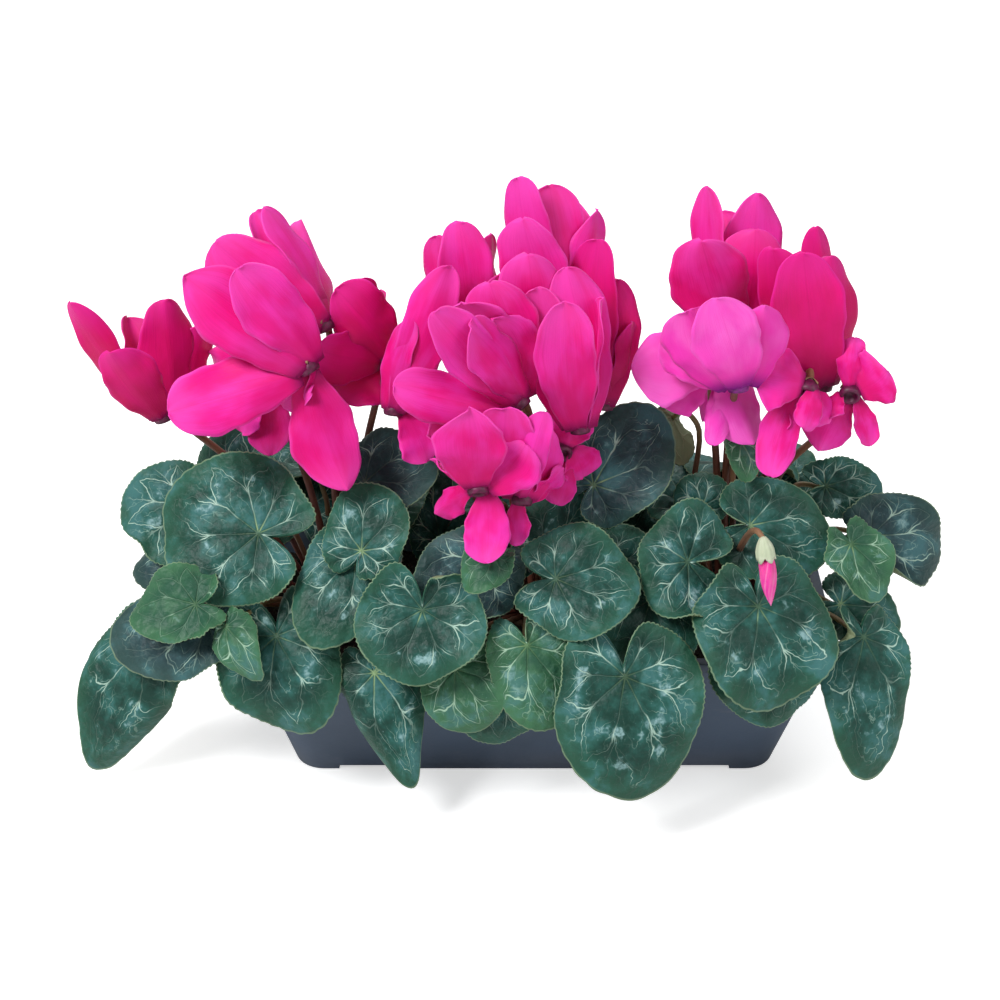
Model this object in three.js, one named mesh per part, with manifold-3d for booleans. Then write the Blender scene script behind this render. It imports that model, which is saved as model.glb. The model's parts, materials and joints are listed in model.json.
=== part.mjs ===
// Potted cyclamen: three flowering plants in one tapered plastic trough.
// Millimetres, +Z up, the viewer's side at -Y, origin under the middle of the trough's base.
import * as THREE from "three";
import { mergeVertices } from "three/addons/utils/BufferGeometryUtils.js";
import Module from "manifold-3d";

const wasm = await Module();
wasm.setup();

// Driving dimensions.
const RIM = { length: 320, width: 150, lipHeight: 6.6, lipReach: 4 };
const BASE = { length: 266, width: 98, footHeight: 2.6 };
const TROUGH_HEIGHT = 88;
const WALL = 2.2;
const CORNER_RADIUS = 16;
const SOIL_HEIGHT = 72;
const DRAIN = { inner: 81, outer: 108, hole: 4 };
const GAP = 0.3;
const LEAF_THICKNESS = 0.9;
const PETAL_THICKNESS = 0.8;
const PETIOLE_RADIUS = 1.5;
const FLOWER_STALK_RADIUS = 1.9;
const NOSE_RADIUS = 5.5;
const TUBER = { radius: 19, height: 9 };
const PLANT_SPACING = 105;
const PLANTS = ["left", "middle", "right"];

// The plants' crowns, left to right, where every stalk leaves the tuber.
const CROWNS = [-1, 0, 1].map((i) => new THREE.Vector3(i * PLANT_SPACING, 4, SOIL_HEIGHT));

// The viewpoint that the layout below is written for: a square view of 1000 units a side from
// in front and above. A place is how far across and down that view it lies, and its depth along Y.
const VIEW = {
  elevation: THREE.MathUtils.degToRad(30),
  distance: 1100,
  focal: 2035,
  middle: 500,
  target: new THREE.Vector3(-19, 0, 144),
};
const RIGHT = new THREE.Vector3(1, 0, 0);
const UP = new THREE.Vector3(0, 0, 1);
const FORWARD = new THREE.Vector3(0, Math.cos(VIEW.elevation), -Math.sin(VIEW.elevation));
const VIEW_UP = new THREE.Vector3(0, Math.sin(VIEW.elevation), Math.cos(VIEW.elevation));
const TO_VIEWER = FORWARD.clone().negate();
const EYE = VIEW.target.clone().addScaledVector(FORWARD, -VIEW.distance);

// The leaves at the front lie in layers over a skirt that runs from the crowns down over the rim.
const SKIRT = { rimDown: 650, rimDepth: -77, rise: 0.365, hang: 0.17, middle: 520, curve: 0.0002, layer: 9 };

// Leaves: node, plant, heart [across, down], tip [across, down], layer (higher is nearer),
// width, roll about the midrib in degrees, cup, arch, wave, and how far the tip is drawn out.
const LEAVES = [
  ["leaf_left_broad", 0, [266, 532], [176, 506], 4, 80, 0, 2, 4, 3, 0.1],
  ["leaf_left_edge", 0, [196, 505], [128, 526], 2, 54, -10, -2, 4, 3],
  ["leaf_left_back", 0, [236, 482], [204, 440], -1, 50, 0, -2, 3, 3],
  ["leaf_left_slate", 0, [190, 562], [140, 568], 1, 34, 0, -2, 4, 3],
  ["leaf_left_bright", 0, [208, 600], [149, 608], 5, 42, 0, 1, 3, 3, 0.15],
  ["leaf_left_blue", 0, [214, 620], [128, 644], 3, 54, 0, -2, 4, 3],
  ["leaf_left_low", 0, [152, 640], [96, 765], 1, 58, -8, -3, 6, 4, 0.45],
  ["leaf_left_folded", 0, [236, 622], [264, 675], 4.4, 26, 10, -4, 3, 2, 0.3],
  ["leaf_left_front", 0, [280, 634], [302, 728], 2, 66, 0, -3, 5, 3],
  ["leaf_left_heart", 0, [360, 553], [322, 640], 3, 52, 0, 2, 4, 3, 0.1],
  ["leaf_left_lobe", 0, [366, 549], [394, 490], 4, 44, 0, 2, 2, 3],
  ["leaf_left_dark", 0, [366, 482], [434, 460], 1, 46, 0, 1, 3, 4],
  ["leaf_mid_curled", 1, [425, 606], [424, 677], 4, 66, 0, 5, 0, 3],
  ["leaf_mid_slate", 1, [484, 560], [424, 632], 2.6, 54, 0, -2, 4, 4, 0.2],
  ["leaf_mid_small", 1, [494, 552], [468, 584], 6, 25, 0, 0, 2, 3, 0.1],
  ["leaf_mid_lime", 1, [456, 666], [478, 729], 2.3, 44, 8, -2, 3, 3],
  ["leaf_mid_veined", 1, [527, 642], [552, 718], 3, 48, 0, -2, 4, 3],
  ["leaf_mid_rear", 1, [542, 558], [566, 490], 1.4, 40, 0, 1, 2, 3],
  ["leaf_mid_round", 1, [554, 576], [632, 584], 4, 58, 0, 2, 3, 3],
  ["leaf_mid_tucked", 1, [604, 566], [643, 536], 1, 34, 10, 0, 2, 2],
  ["leaf_mid_band", 1, [648, 598], [648, 672], 2, 56, 0, -2, 4, 3],
  ["leaf_mid_front", 1, [621, 671], [636, 785], 4, 78, 0, -2, 6, 4, 0.1],
  ["leaf_mid_under", 1, [492, 684], [502, 742], 1.2, 46, 0, -2, 3, 2],
  ["leaf_mid_draped", 1, [376, 671], [412, 777], 1.4, 46, -12, -5, 4, 3, 0.5],
  ["leaf_mid_dark", 1, [592, 485], [664, 424], 2.4, 52, 0, 2, 4, 4],
  ["leaf_right_twin", 2, [683, 560], [637, 552], 3, 66, 0, 2, 3, 4],
  ["leaf_right_peep", 2, [700, 506], [702, 472], 1, 30, 0, 0, 2, 2],
  ["leaf_right_plate", 2, [746, 525], [820, 538], 2, 56, 8, 1, 3, 3],
  ["leaf_right_front", 2, [750, 603], [764, 702], 4, 72, 0, 2, 5, 3],
  ["leaf_right_chip", 2, [734, 444], [738, 481], 3.8, 21, 0, 1, 2, 2, 0.3],
  ["leaf_right_turned", 2, [672, 418], [688, 458], 0, 24, 150, 3, 2, 3],
  ["leaf_right_under", 2, [762, 662], [776, 716], 2, 64, 0, -1, 5, 3, 0.1],
  ["leaf_right_low", 2, [856, 634], [864, 770], 2.7, 50, 8, -4, 5, 3, 0.12],
  ["leaf_right_round", 2, [840, 542], [868, 594], 4, 36, 0, 2, 1, 2],
  ["leaf_right_far", 2, [868, 536], [942, 556], 1, 50, 14, -2, 4, 4],
  ["leaf_right_back", 2, [826, 486], [876, 490], 0, 34, 10, 0, 3, 3],
  ["leaf_right_shade", 2, [840, 604], [896, 632], 0.4, 38, 8, -2, 3, 2],
];

// Flowers: node, plant, nose [across, down, depth], the way the petals sweep back, and five
// petals, each [across, down, depth] of its tip, width, face (0 outwards, 1 to the viewer), belly, twist.
const FLOWERS = [
  ["flower_left_outer", 0, [163, 416, -20], [-0.3, 0.1, 0.95], [
    [[74, 304, -24], 22, 0.6, 5, 10], [[112, 352, -46], 30, 0.6, 7, 0], [[164, 302, -2], 33, 0.5, 5, 0],
    [[204, 326, 8], 28, 0.5, 5, 0], [[130, 318, 26], 28, 0, 4, 0]]],
  ["flower_left_front", 0, [309, 368, -46], [-0.5, 0.3, 0.8], [
    [[170, 408, -62], 38, 0.9, 4, 0], [[242, 270, -58], 34, 0.9, 4, 0], [[346, 488, -62], 37, 0.9, 4, 0],
    [[326, 422, -34], 28, 0.6, 3, 0], [[188, 276, -50], 42, 0.8, 4, 0]]],
  ["flower_left_top", 0, [324, 326, -22], [-0.4, 0.2, 0.9], [
    [[268, 208, -8], 24, 0.5, 6, -20], [[217, 244, -22], 40, 0.9, 4, 0], [[256, 214, 16], 24, 0, 3, 0],
    [[300, 226, 34], 30, 0, 4, 0], [[228, 262, -4], 34, 0.6, 3, 0]]],
  ["flower_left_right", 0, [384, 358, -6], [-0.3, 0.1, 0.95], [
    [[356, 282, 2], 24, 0.3, 6, 20], [[342, 290, -20], 34, 0.8, 4, 0], [[320, 348, -34], 32, 0.7, 3, 0],
    [[342, 396, -28], 34, 0.8, 3, 0], [[380, 290, 26], 28, 0, 3, 0]]],
  ["flower_left_hidden", 0, [264, 388, -6], [-0.1, 0.3, 0.9], [
    [[243, 434, -10], 17, 0.8, 2, 0], [[273, 454, -12], 26, 0.8, 2, 0], [[214, 350, 12], 32, 0.5, 3, 0],
    [[262, 320, 22], 30, 0, 3, 0], [[312, 396, -50], 20, 0.4, 2, 0]]],
  ["flower_mid_low", 1, [478, 490, -84], [-0.1, 0.7, 0.7], [
    [[468, 414, -96], 38, 0.9, 4, 0], [[528, 448, -84], 32, 0.8, 4, 0], [[490, 562, -100], 25, 0.9, 3, 0],
    [[436, 512, -72], 16, 0.7, 2, 0], [[440, 462, -56], 26, 0.3, 3, 0]]],
  ["flower_mid_low_right", 1, [522, 500, -76], [0.1, 0.6, 0.8], [
    [[508, 410, -82], 34, 0.8, 3, 0], [[546, 416, -84], 18, 0.6, 3, 0], [[516, 545, -78], 14, 0.8, 2, 0],
    [[564, 470, -72], 22, 0.5, 3, 0], [[552, 430, -66], 22, 0.4, 3, 0]]],
  ["flower_mid_right_front", 1, [580, 428, -52], [-0.1, 0.25, 0.95], [
    [[540, 292, -50], 30, 0.8, 5, 0], [[562, 308, -76], 32, 0.8, 7, 0], [[574, 270, -42], 36, 0.7, 6, 0],
    [[604, 300, -46], 30, 0.3, 3, 0], [[566, 304, -34], 28, 0, 2, 0]]],
  ["flower_mid_left_front", 1, [520, 404, -66], [-0.6, 0.4, 0.6], [
    [[398, 386, -86], 28, 0.9, 4, 0], [[436, 314, -90], 28, 0.6, 4, 20], [[430, 434, -78], 32, 0.8, 4, 0],
    [[470, 326, -84], 30, 0.7, 3, 10], [[496, 322, -64], 38, 0.7, 2, 0]]],
  ["flower_mid_top", 1, [560, 328, -12], [-0.1, 0.3, 0.95], [
    [[519, 182, -8], 26, 0.7, 5, 10], [[550, 188, 4], 37, 0.8, 4, 0], [[596, 212, 4], 26, 0.5, 5, -20],
    [[526, 222, -26], 36, 0.8, 4, 0], [[572, 200, 34], 30, 0, 3, 0]]],
  ["flower_mid_crown", 1, [520, 372, -40], [-0.2, 0.4, 0.9], [
    [[530, 258, -46], 40, 0.8, 5, 0], [[496, 286, -58], 36, 0.8, 4, 0], [[466, 304, -64], 38, 0.8, 4, 0],
    [[536, 300, -24], 26, 0.2, 2, 0], [[498, 276, -20], 28, 0, 2, 0]]],
  ["flower_mid_left_top", 1, [470, 342, -10], [-0.2, 0.2, 0.95], [
    [[458, 226, -20], 30, 0.8, 5, 0], [[437, 238, -2], 20, 0.4, 4, 20], [[488, 236, 2], 24, 0.4, 4, 0],
    [[426, 276, 10], 26, 0.4, 3, 0], [[462, 242, 26], 26, 0, 3, 0]]],
  ["flower_mid_left", 1, [394, 410, -34], [0.1, 0.3, 0.9], [
    [[412, 322, -34], 17, 0.6, 4, 0], [[446, 268, -30], 28, 0.7, 3, 0], [[430, 460, -44], 24, 0.7, 3, 0],
    [[432, 340, -12], 26, 0.3, 3, 0], [[416, 356, -8], 20, 0, 2, 0]]],
  ["flower_mid_right", 1, [604, 404, -26], [0.1, 0.2, 0.95], [
    [[594, 242, -16], 30, 0.6, 5, 0], [[620, 282, -14], 30, 0.5, 6, 0], [[630, 324, -26], 17, 0.4, 4, 0],
    [[584, 300, 12], 30, 0, 4, 0], [[612, 286, 22], 28, 0, 4, 0]]],
  ["flower_mid_face", 1, [562, 452, -42], [-0.1, 0.9, 0.3], [
    [[555, 503, -54], 19, 0.9, 2, 0], [[584, 478, -40], 26, 0.7, 3, 0], [[572, 414, -32], 26, 0.7, 3, 0],
    [[534, 444, -30], 22, 0.5, 3, 0], [[540, 474, -26], 22, 0.3, 2, 0]]],
  ["flower_right_pale", 2, [738, 386, -64], [-0.1, 0.2, 0.95], [
    [[690, 312, -70], 36, 0.8, 6, 0], [[722, 298, -76], 36, 0.9, 8, 0], [[762, 306, -64], 32, 0.8, 6, 0],
    [[668, 334, -50], 28, 0.7, 4, 0], [[734, 300, -38], 32, 0, 4, 0]]],
  ["flower_right_skirt", 2, [716, 372, -36], [0.1, 0.8, 0.6], [
    [[634, 362, -44], 40, 0.8, 4, 0], [[662, 404, -40], 30, 0.7, 3, 0], [[716, 444, -52], 15, 0.9, 2, 0],
    [[750, 442, -46], 28, 0.8, 3, 0], [[704, 424, -20], 24, 0.5, 2, 0]]],
  ["flower_right_top", 2, [736, 338, -16], [-0.1, 0.3, 0.95], [
    [[708, 240, -36], 42, 0.9, 5, 0], [[708, 190, 4], 26, 0.5, 5, 0], [[752, 196, 6], 36, 0.8, 4, 0],
    [[754, 232, -10], 40, 0.8, 4, 0], [[724, 214, 30], 30, 0, 3, 0]]],
  ["flower_right_tall", 2, [822, 386, -30], [-0.1, 0.2, 0.97], [
    [[800, 254, -44], 40, 0.8, 7, 0], [[832, 258, -26], 34, 0.5, 7, 0], [[815, 230, -6], 20, 0.8, 6, 0],
    [[778, 252, -34], 30, 0.8, 4, 0], [[812, 262, 10], 28, 0, 3, 0]]],
  ["flower_right_open", 2, [850, 394, -46], [0.1, 0.9, 0.3], [
    [[888, 372, -48], 32, 0.9, 3, 0], [[870, 446, -46], 14, 0.7, 2, 0], [[818, 450, -48], 26, 0.8, 3, 0],
    [[830, 418, -56], 12, 0.7, 2, 0], [[852, 338, -38], 16, 0.5, 2, 0]]],
  ["flower_right_drooping", 2, [808, 390, -56], [0.3, 0.8, 0.5], [
    [[768, 474, -70], 22, 0.9, 3, 0], [[756, 374, -60], 36, 0.8, 3, 0], [[803, 428, -74], 15, 0.8, 2, 0],
    [[788, 434, -52], 24, 0.4, 3, 0], [[830, 424, -56], 20, 0.5, 3, 0]]],
];

// The one unopened bud: hook top, calyx top, calyx foot and petal tip.
const BUD = {
  plant: 2,
  hook: [757, 531, -92],
  calyx: [763, 538, -99],
  foot: [766, 558, -101],
  tip: [771, 606, -103],
};

// Leaves behind each crown, which the front hides: heart and tip from the crown, width, how far the
// leaf leans back, and the first plant that has it. The left plant has them the other way round.
const REAR_LEAVES = [
  [[-17, 56, 54], [-36, 106, 20], 54, 0.5, 0],
  [[17, 58, 52], [36, 110, 22], 54, 0.5, 0],
  [[12, 20, 80], [4, 76, 44], 62, 0.5, 0],
  [[-22, 10, 62], [-27, 60, 74], 46, -0.2, 0],
  [[24, 10, 56], [34, 60, 72], 52, -0.2, 0],
  [[-53, 28, 28], [-42, 55, 72], 43, -1.2, 1],
];

// A point of the layout in space.
function place([across, down, depth]) {
  const ray = FORWARD.clone().multiplyScalar(VIEW.focal);
  ray.addScaledVector(RIGHT, across - VIEW.middle);
  ray.addScaledVector(VIEW_UP, VIEW.middle - down);
  return EYE.clone().addScaledVector(ray, (depth - EYE.y) / ray.y);
}

// The skirt's surface: a place across and down the view, at its depth there, raised by layers.
function onSkirt([across, down], layer = 0) {
  const below = down - SKIRT.rimDown;
  const depth = SKIRT.rimDepth - below * (below > 0 ? SKIRT.hang : SKIRT.rise)
    + SKIRT.curve * (across - SKIRT.middle) ** 2;
  return place([across, down, depth]).addScaledVector(TO_VIEWER, SKIRT.layer * layer);
}

// A repeatable draw from 0 to 1 for the nth small variation.
function draw(n) {
  const s = Math.sin(n * 127.1 + 11.7) * 43758.5453;
  return s - Math.floor(s);
}

// The manifold solid of a closed three.js geometry.
function solidOf(geometry) {
  const bare = new THREE.BufferGeometry().setAttribute("position", geometry.getAttribute("position"));
  if (geometry.index) bare.setIndex(geometry.index);
  const merged = mergeVertices(bare, 1e-4);
  return new wasm.Manifold(
    new wasm.Mesh({
      numProp: 3,
      vertProperties: new Float32Array(merged.attributes.position.array),
      triVerts: new Uint32Array(merged.index.array),
    }),
  );
}

// A closed geometry from a list of points and a list of triangles.
function geometryOf(points, triangles) {
  const geometry = new THREE.BufferGeometry().setFromPoints(points);
  geometry.setIndex(triangles.flat());
  return geometry;
}

// The biggest body of a solid, with scraps dropped and sealed hollows filled.
function mainBody(solid) {
  return solid.decompose().reduce((a, b) => (b.volume() > a.volume() ? b : a));
}

// The geometry of a manifold solid.
function meshOf(name, solid, material) {
  const { vertProperties, triVerts, numProp } = solid.getMesh();
  const points = [];
  for (let i = 0; i < vertProperties.length; i += numProp) {
    points.push(new THREE.Vector3(...vertProperties.subarray(i, i + 3)));
  }
  const geometry = new THREE.BufferGeometry().setFromPoints(points);
  geometry.setIndex(Array.from(triVerts));
  geometry.computeVertexNormals();
  const mesh = new THREE.Mesh(geometry, material);
  mesh.name = name;
  return mesh;
}

// A thin closed plate on both sides of a surface, its two faces split alike.
function plate(points, faces, thickness) {
  const normals = points.map(() => new THREE.Vector3());
  for (const [a, b, c] of faces) {
    const ab = points[b].clone().sub(points[a]);
    const ac = points[c].clone().sub(points[a]);
    const normal = ab.cross(ac);
    for (const i of [a, b, c]) normals[i].add(normal);
  }
  normals.forEach((n) => n.setLength(thickness / 2));
  const count = points.length;
  const both = [
    ...points.map((p, i) => p.clone().add(normals[i])),
    ...points.map((p, i) => p.clone().sub(normals[i])),
  ];
  const triangles = [];
  const edges = new Map();
  for (const [a, b, c] of faces) {
    triangles.push([a, b, c], [a + count, c + count, b + count]);
    for (const [from, to] of [[a, b], [b, c], [c, a]]) {
      if (edges.has(`${to} ${from}`)) edges.delete(`${to} ${from}`);
      else edges.set(`${from} ${to}`, [from, to]);
    }
  }
  for (const [a, b] of edges.values()) triangles.push([b, a, a + count], [b, a + count, b + count]);
  return geometryOf(both, triangles);
}

// A closed solid stitched from rings of equal length, ended by a centre point at each end.
function ringSolid(first, rings, last) {
  const points = [first, ...rings.flat(), last];
  const n = rings[0].length;
  const triangles = [];
  for (let i = 0; i < n; i++) {
    const next = (i + 1) % n;
    triangles.push([0, 1 + next, 1 + i]);
    for (let r = 0; r + 1 < rings.length; r++) {
      const low = 1 + r * n;
      const high = low + n;
      triangles.push([low + i, low + next, high + next], [low + i, high + next, high + i]);
    }
    const top = 1 + (rings.length - 1) * n;
    triangles.push([top + i, top + next, points.length - 1]);
  }
  return geometryOf(points, triangles);
}

// The outline of a rounded rectangle at one height.
function roundedRing(length, width, radius, height, steps = 2) {
  const ring = [];
  for (const [sx, sy, start] of [[1, 1, 0], [-1, 1, 90], [-1, -1, 180], [1, -1, 270]]) {
    for (let k = 0; k <= steps; k++) {
      const angle = THREE.MathUtils.degToRad(start + (90 * k) / steps);
      ring.push(new THREE.Vector3(
        sx * (length / 2 - radius) + radius * Math.cos(angle),
        sy * (width / 2 - radius) + radius * Math.sin(angle),
        height,
      ));
    }
  }
  return ring;
}

// A solid between rounded rectangles, each given as [length, width, radius, height].
function loft(sections) {
  const rings = sections.map((s) => roundedRing(...s));
  const first = new THREE.Vector3(0, 0, sections[0][3]);
  const last = new THREE.Vector3(0, 0, sections.at(-1)[3]);
  return solidOf(ringSolid(first, rings, last));
}

// The trough's outside size at a height, less an inset.
function wallSection(height, inset = 0) {
  const t = height / TROUGH_HEIGHT;
  const reach = 2 * (RIM.lipReach + inset);
  return [
    THREE.MathUtils.lerp(BASE.length, RIM.length, t) - reach * t - 2 * inset * (1 - t),
    THREE.MathUtils.lerp(BASE.width, RIM.width, t) - reach * t - 2 * inset * (1 - t),
    CORNER_RADIUS - inset,
    height,
  ];
}

// The trough: tapered walls, a turned-down lip, and two drainage channels across the base.
function trough() {
  const edge = 4;
  const lipFoot = TROUGH_HEIGHT - RIM.lipHeight;
  const floor = BASE.footHeight + WALL;
  const lip = [RIM.length, RIM.width, CORNER_RADIUS + RIM.lipReach];
  const [baseLength, baseWidth] = wallSection(0);
  let body = loft([
    [baseLength - edge, baseWidth - edge, CORNER_RADIUS - edge / 2, 0],
    wallSection(edge),
    wallSection(lipFoot),
    [lip[0] - 1, lip[1] - 1, lip[2] - 0.5, lipFoot],
    [lip[0] - 1, lip[1] - 1, lip[2] - 0.5, TROUGH_HEIGHT - 1],
    [...lip.map((v) => v - 0.01), TROUGH_HEIGHT],
  ]);
  body = body.subtract(loft([wallSection(floor, WALL), wallSection(TROUGH_HEIGHT + 1, WALL)]));
  const [length, width, radius] = wallSection(TROUGH_HEIGHT);
  const groove = loft([
    [lip[0] - 1 - 2 * 1.4, lip[1] - 1 - 2 * 1.4, lip[2] - 1.9, lipFoot - 1],
    [lip[0] - 1 - 2 * 1.4, lip[1] - 1 - 2 * 1.4, lip[2] - 1.9, TROUGH_HEIGHT - 1.8],
  ]).subtract(loft([[length, width, radius, lipFoot - 2], [length, width, radius, TROUGH_HEIGHT]]));
  body = body.subtract(groove);
  for (const side of [-1, 1]) {
    const channel = new THREE.BoxGeometry(DRAIN.outer - DRAIN.inner, 2 * RIM.width, 2 * BASE.footHeight);
    channel.translate((side * (DRAIN.inner + DRAIN.outer)) / 2, 0, 0);
    body = body.subtract(solidOf(channel));
    for (const row of [-1, 1]) {
      const hole = new THREE.CylinderGeometry(DRAIN.hole, DRAIN.hole, 4 * floor, 10).rotateX(Math.PI / 2);
      hole.translate((side * (DRAIN.inner + DRAIN.outer)) / 2, (row * BASE.width) / 5, 0);
      body = body.subtract(solidOf(hole));
    }
  }
  return mainBody(body);
}

// The soil: a block with a crumbled top, inside the trough.
function soil() {
  const bottom = BASE.footHeight + WALL + GAP;
  const outer = roundedRing(...wallSection(SOIL_HEIGHT, WALL + GAP));
  const centre = new THREE.Vector3(0, 0, SOIL_HEIGHT);
  const lump = (p, i, ring) => p.clone().setZ(SOIL_HEIGHT + 4 * (draw(7 * i + 31 * ring) - 0.5));
  const inner = [0.72, 0.36].map((share, ring) =>
    outer.map((p, i) => lump(centre.clone().lerp(p, share), i, ring)));
  const low = roundedRing(...wallSection(bottom, WALL + GAP));
  return solidOf(ringSolid(new THREE.Vector3(0, 0, bottom), [low, outer, ...inner], centre));
}

// A tuber, grown or enlarged by an allowance.
function tuber(crown, allowance = 0) {
  const ball = new THREE.SphereGeometry(1, 8, 4).rotateX(Math.PI / 2);
  ball.scale(TUBER.radius + allowance, TUBER.radius + allowance, TUBER.height + allowance);
  return solidOf(ball.translate(crown.x, crown.y, crown.z));
}

// A stalk along a curve through points, with its rings closest where the points are.
function stalk(points, radius, steps, sides = 4) {
  const curve = new THREE.CatmullRomCurve3(points, false, "centripetal");
  const normal = new THREE.Vector3(0, 0, 1).cross(curve.getTangent(0));
  if (normal.length() < 0.1) normal.set(1, 0, 0);
  const rings = [];
  for (let k = 0; k <= steps; k++) {
    const tangent = curve.getTangent(k / steps);
    normal.addScaledVector(tangent, -normal.dot(tangent)).normalize();
    const ring = [];
    for (let i = 0; i < sides; i++) {
      const out = normal.clone().applyAxisAngle(tangent, (2 * Math.PI * i) / sides);
      ring.push(curve.getPoint(k / steps).addScaledVector(out, radius));
    }
    rings.push(ring);
  }
  return solidOf(ringSolid(points[0], rings, points.at(-1)));
}

// How far a leaf's margin lies from its heart, at an angle from its tip.
function margin(angle, length, width) {
  const back = 0.4 * width;
  const middle = (length - back) / 2;
  const along = (length + back) / 2;
  const across = width / 2;
  const [c, s] = [Math.cos(angle), Math.sin(angle)];
  const square = (c / along) ** 2 + (s / across) ** 2;
  const root = Math.sqrt(square - ((middle * s) / (along * across)) ** 2);
  const oval = ((middle * c) / along ** 2 + root) / square;
  const toSinus = (Math.PI - Math.abs(angle)) / 0.3;
  return oval * (1 - 0.82 * Math.exp(-toSinus * toSinus)) * (1 + 0.05 * Math.exp(-((angle / 0.3) ** 2)));
}

// A leaf's own axes: heart, the way to the tip, the way it faces, its side, and its length.
function leafFrame({ heart, tip, normal, roll }) {
  const along = tip.clone().sub(heart);
  const length = along.length();
  along.normalize();
  const face = normal.clone().addScaledVector(along, -normal.dot(along)).normalize();
  face.applyAxisAngle(along, THREE.MathUtils.degToRad(roll));
  return { heart, along, face, side: face.clone().cross(along), length };
}

// Angles round a leaf's margin in degrees, closer together at the sinus behind the heart.
const HALF_MARGIN = [0, 30, 62, 94, 124, 150, 168];
const MARGIN = [...HALF_MARGIN, 180, ...HALF_MARGIN.slice(1).reverse().map((a) => -a)];

// A leaf blade: heart-shaped, cupped, arched along its midrib, waved and toothed at its margin.
function blade(leaf, thickness) {
  const { heart, along, face, side, length } = leafFrame(leaf);
  const { width, cup, arch, wave, taper, phase } = leaf;
  const n = MARGIN.length;
  const at = (degrees, share, tooth) => {
    const angle = THREE.MathUtils.degToRad(degrees);
    const reach = share * tooth * margin(angle, length, width);
    const u = (reach * Math.cos(angle)) / length;
    const rise = u > 0 ? 4 * u * (1 - u) : (4 * u) / (1 - 3 * u);
    const height = cup * share ** 2 + arch * rise + wave * share ** 3 * Math.sin(4 * angle + phase);
    const p = heart.clone().addScaledVector(along, reach * Math.cos(angle));
    const narrowed = reach * Math.sin(angle) * (1 - taper * THREE.MathUtils.smoothstep(u, 0.1, 1));
    return p.addScaledVector(side, narrowed).addScaledVector(face, height);
  };
  const inner = MARGIN.filter((_, i) => i % 2 === 0).map((a) => at(a, 0.58, 1));
  const outer = MARGIN.map((a, i) => at(a, 1, i % 2 || a === 0 ? 1.02 : 0.97));
  const faces = [];
  for (let i = 0; i < n / 2; i++) {
    const [a, b] = [1 + i, 1 + ((i + 1) % (n / 2))];
    const [p, q, r] = [0, 1, 2].map((k) => 1 + n / 2 + ((2 * i + k) % n));
    faces.push([0, a, b], [a, p, q], [a, q, b], [b, q, r]);
  }
  return solidOf(plate([heart, ...inner, ...outer], faces, thickness));
}

// A petal's share of its full width along its length: narrow claw, broad blade, round tip.
function petalWidth(t) {
  const broadest = 0.6;
  if (t < broadest) return 0.14 + 0.86 * Math.sin(((Math.PI / 2) * t) / broadest) ** 1.2;
  return Math.sqrt(1 - ((t - broadest) / 0.42) ** 2);
}

// A petal from the flower's nose to its tip, its root at an angle round the nose.
function petal(nose, root, [tipAt, width, facing, belly, twist], thickness) {
  const tip = place(tipAt);
  const out = root.clone().sub(nose).normalize();
  const knee = root.clone().lerp(tip, 0.42).addScaledVector(out, belly);
  const curve = new THREE.QuadraticBezierCurve3(root, knee, tip);
  const face = out.clone().multiplyScalar(1 - facing).addScaledVector(TO_VIEWER, facing);
  const points = [];
  const stations = facing > 0.5 ? [0, 0.34, 0.7, 1] : [0, 0.55, 1];
  for (const t of stations) {
    const way = curve.getTangent(t);
    const side = way.clone().cross(face).normalize();
    side.applyAxisAngle(way, THREE.MathUtils.degToRad(twist * t));
    const normal = side.clone().cross(way).normalize();
    const half = (width / 2) * petalWidth(t);
    for (const v of [-1, 0, 1]) {
      const p = curve.getPoint(t - (t === 1 ? 0.04 * v * v : 0)).addScaledVector(side, v * half);
      points.push(p.addScaledVector(normal, -0.12 * half * v * v));
    }
  }
  const faces = [];
  for (let r = 0; r + 1 < stations.length; r++) {
    for (const c of [0, 1]) {
      const a = 3 * r + c;
      faces.push([a, a + 1, a + 4], [a, a + 4, a + 3]);
    }
  }
  return solidOf(plate(points, faces, thickness));
}

// The short tube that a flower's petals fold back from, its mouth facing away from them.
function flowerNose(nose, axis) {
  const profile = [[0, -2.4], [NOSE_RADIUS, -2.4], [NOSE_RADIUS, 2], [0, 5.4]];
  const lathe = new THREE.LatheGeometry(profile.map(([x, y]) => new THREE.Vector2(x, y)), 6);
  lathe.applyQuaternion(new THREE.Quaternion().setFromUnitVectors(new THREE.Vector3(0, 1, 0), axis));
  return solidOf(lathe.translate(nose.x, nose.y, nose.z));
}

// The roots of a flower's petals: evenly round its nose, in the order in which the petals point.
function petalRoots(nose, axis, petals) {
  const first = RIGHT.clone().addScaledVector(axis, -axis.x).normalize();
  const second = axis.clone().cross(first);
  const bearings = petals.map(([tipAt], i) => {
    const out = place(tipAt).sub(nose);
    return [Math.atan2(out.dot(second), out.dot(first)), i];
  });
  const order = [...bearings].sort((a, b) => a[0] - b[0]).map(([, i]) => i);
  const step = (2 * Math.PI) / petals.length;
  const rank = (i) => order.indexOf(i);
  const x = bearings.reduce((sum, [a, i]) => sum + Math.cos(a - rank(i) * step), 0);
  const y = bearings.reduce((sum, [a, i]) => sum + Math.sin(a - rank(i) * step), 0);
  const start = Math.atan2(y, x);
  return petals.map((_, i) => {
    const angle = start + rank(i) * step;
    const out = first.clone().multiplyScalar(Math.cos(angle)).addScaledVector(second, Math.sin(angle));
    return nose.clone().addScaledVector(out, 0.85 * NOSE_RADIUS);
  });
}

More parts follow.
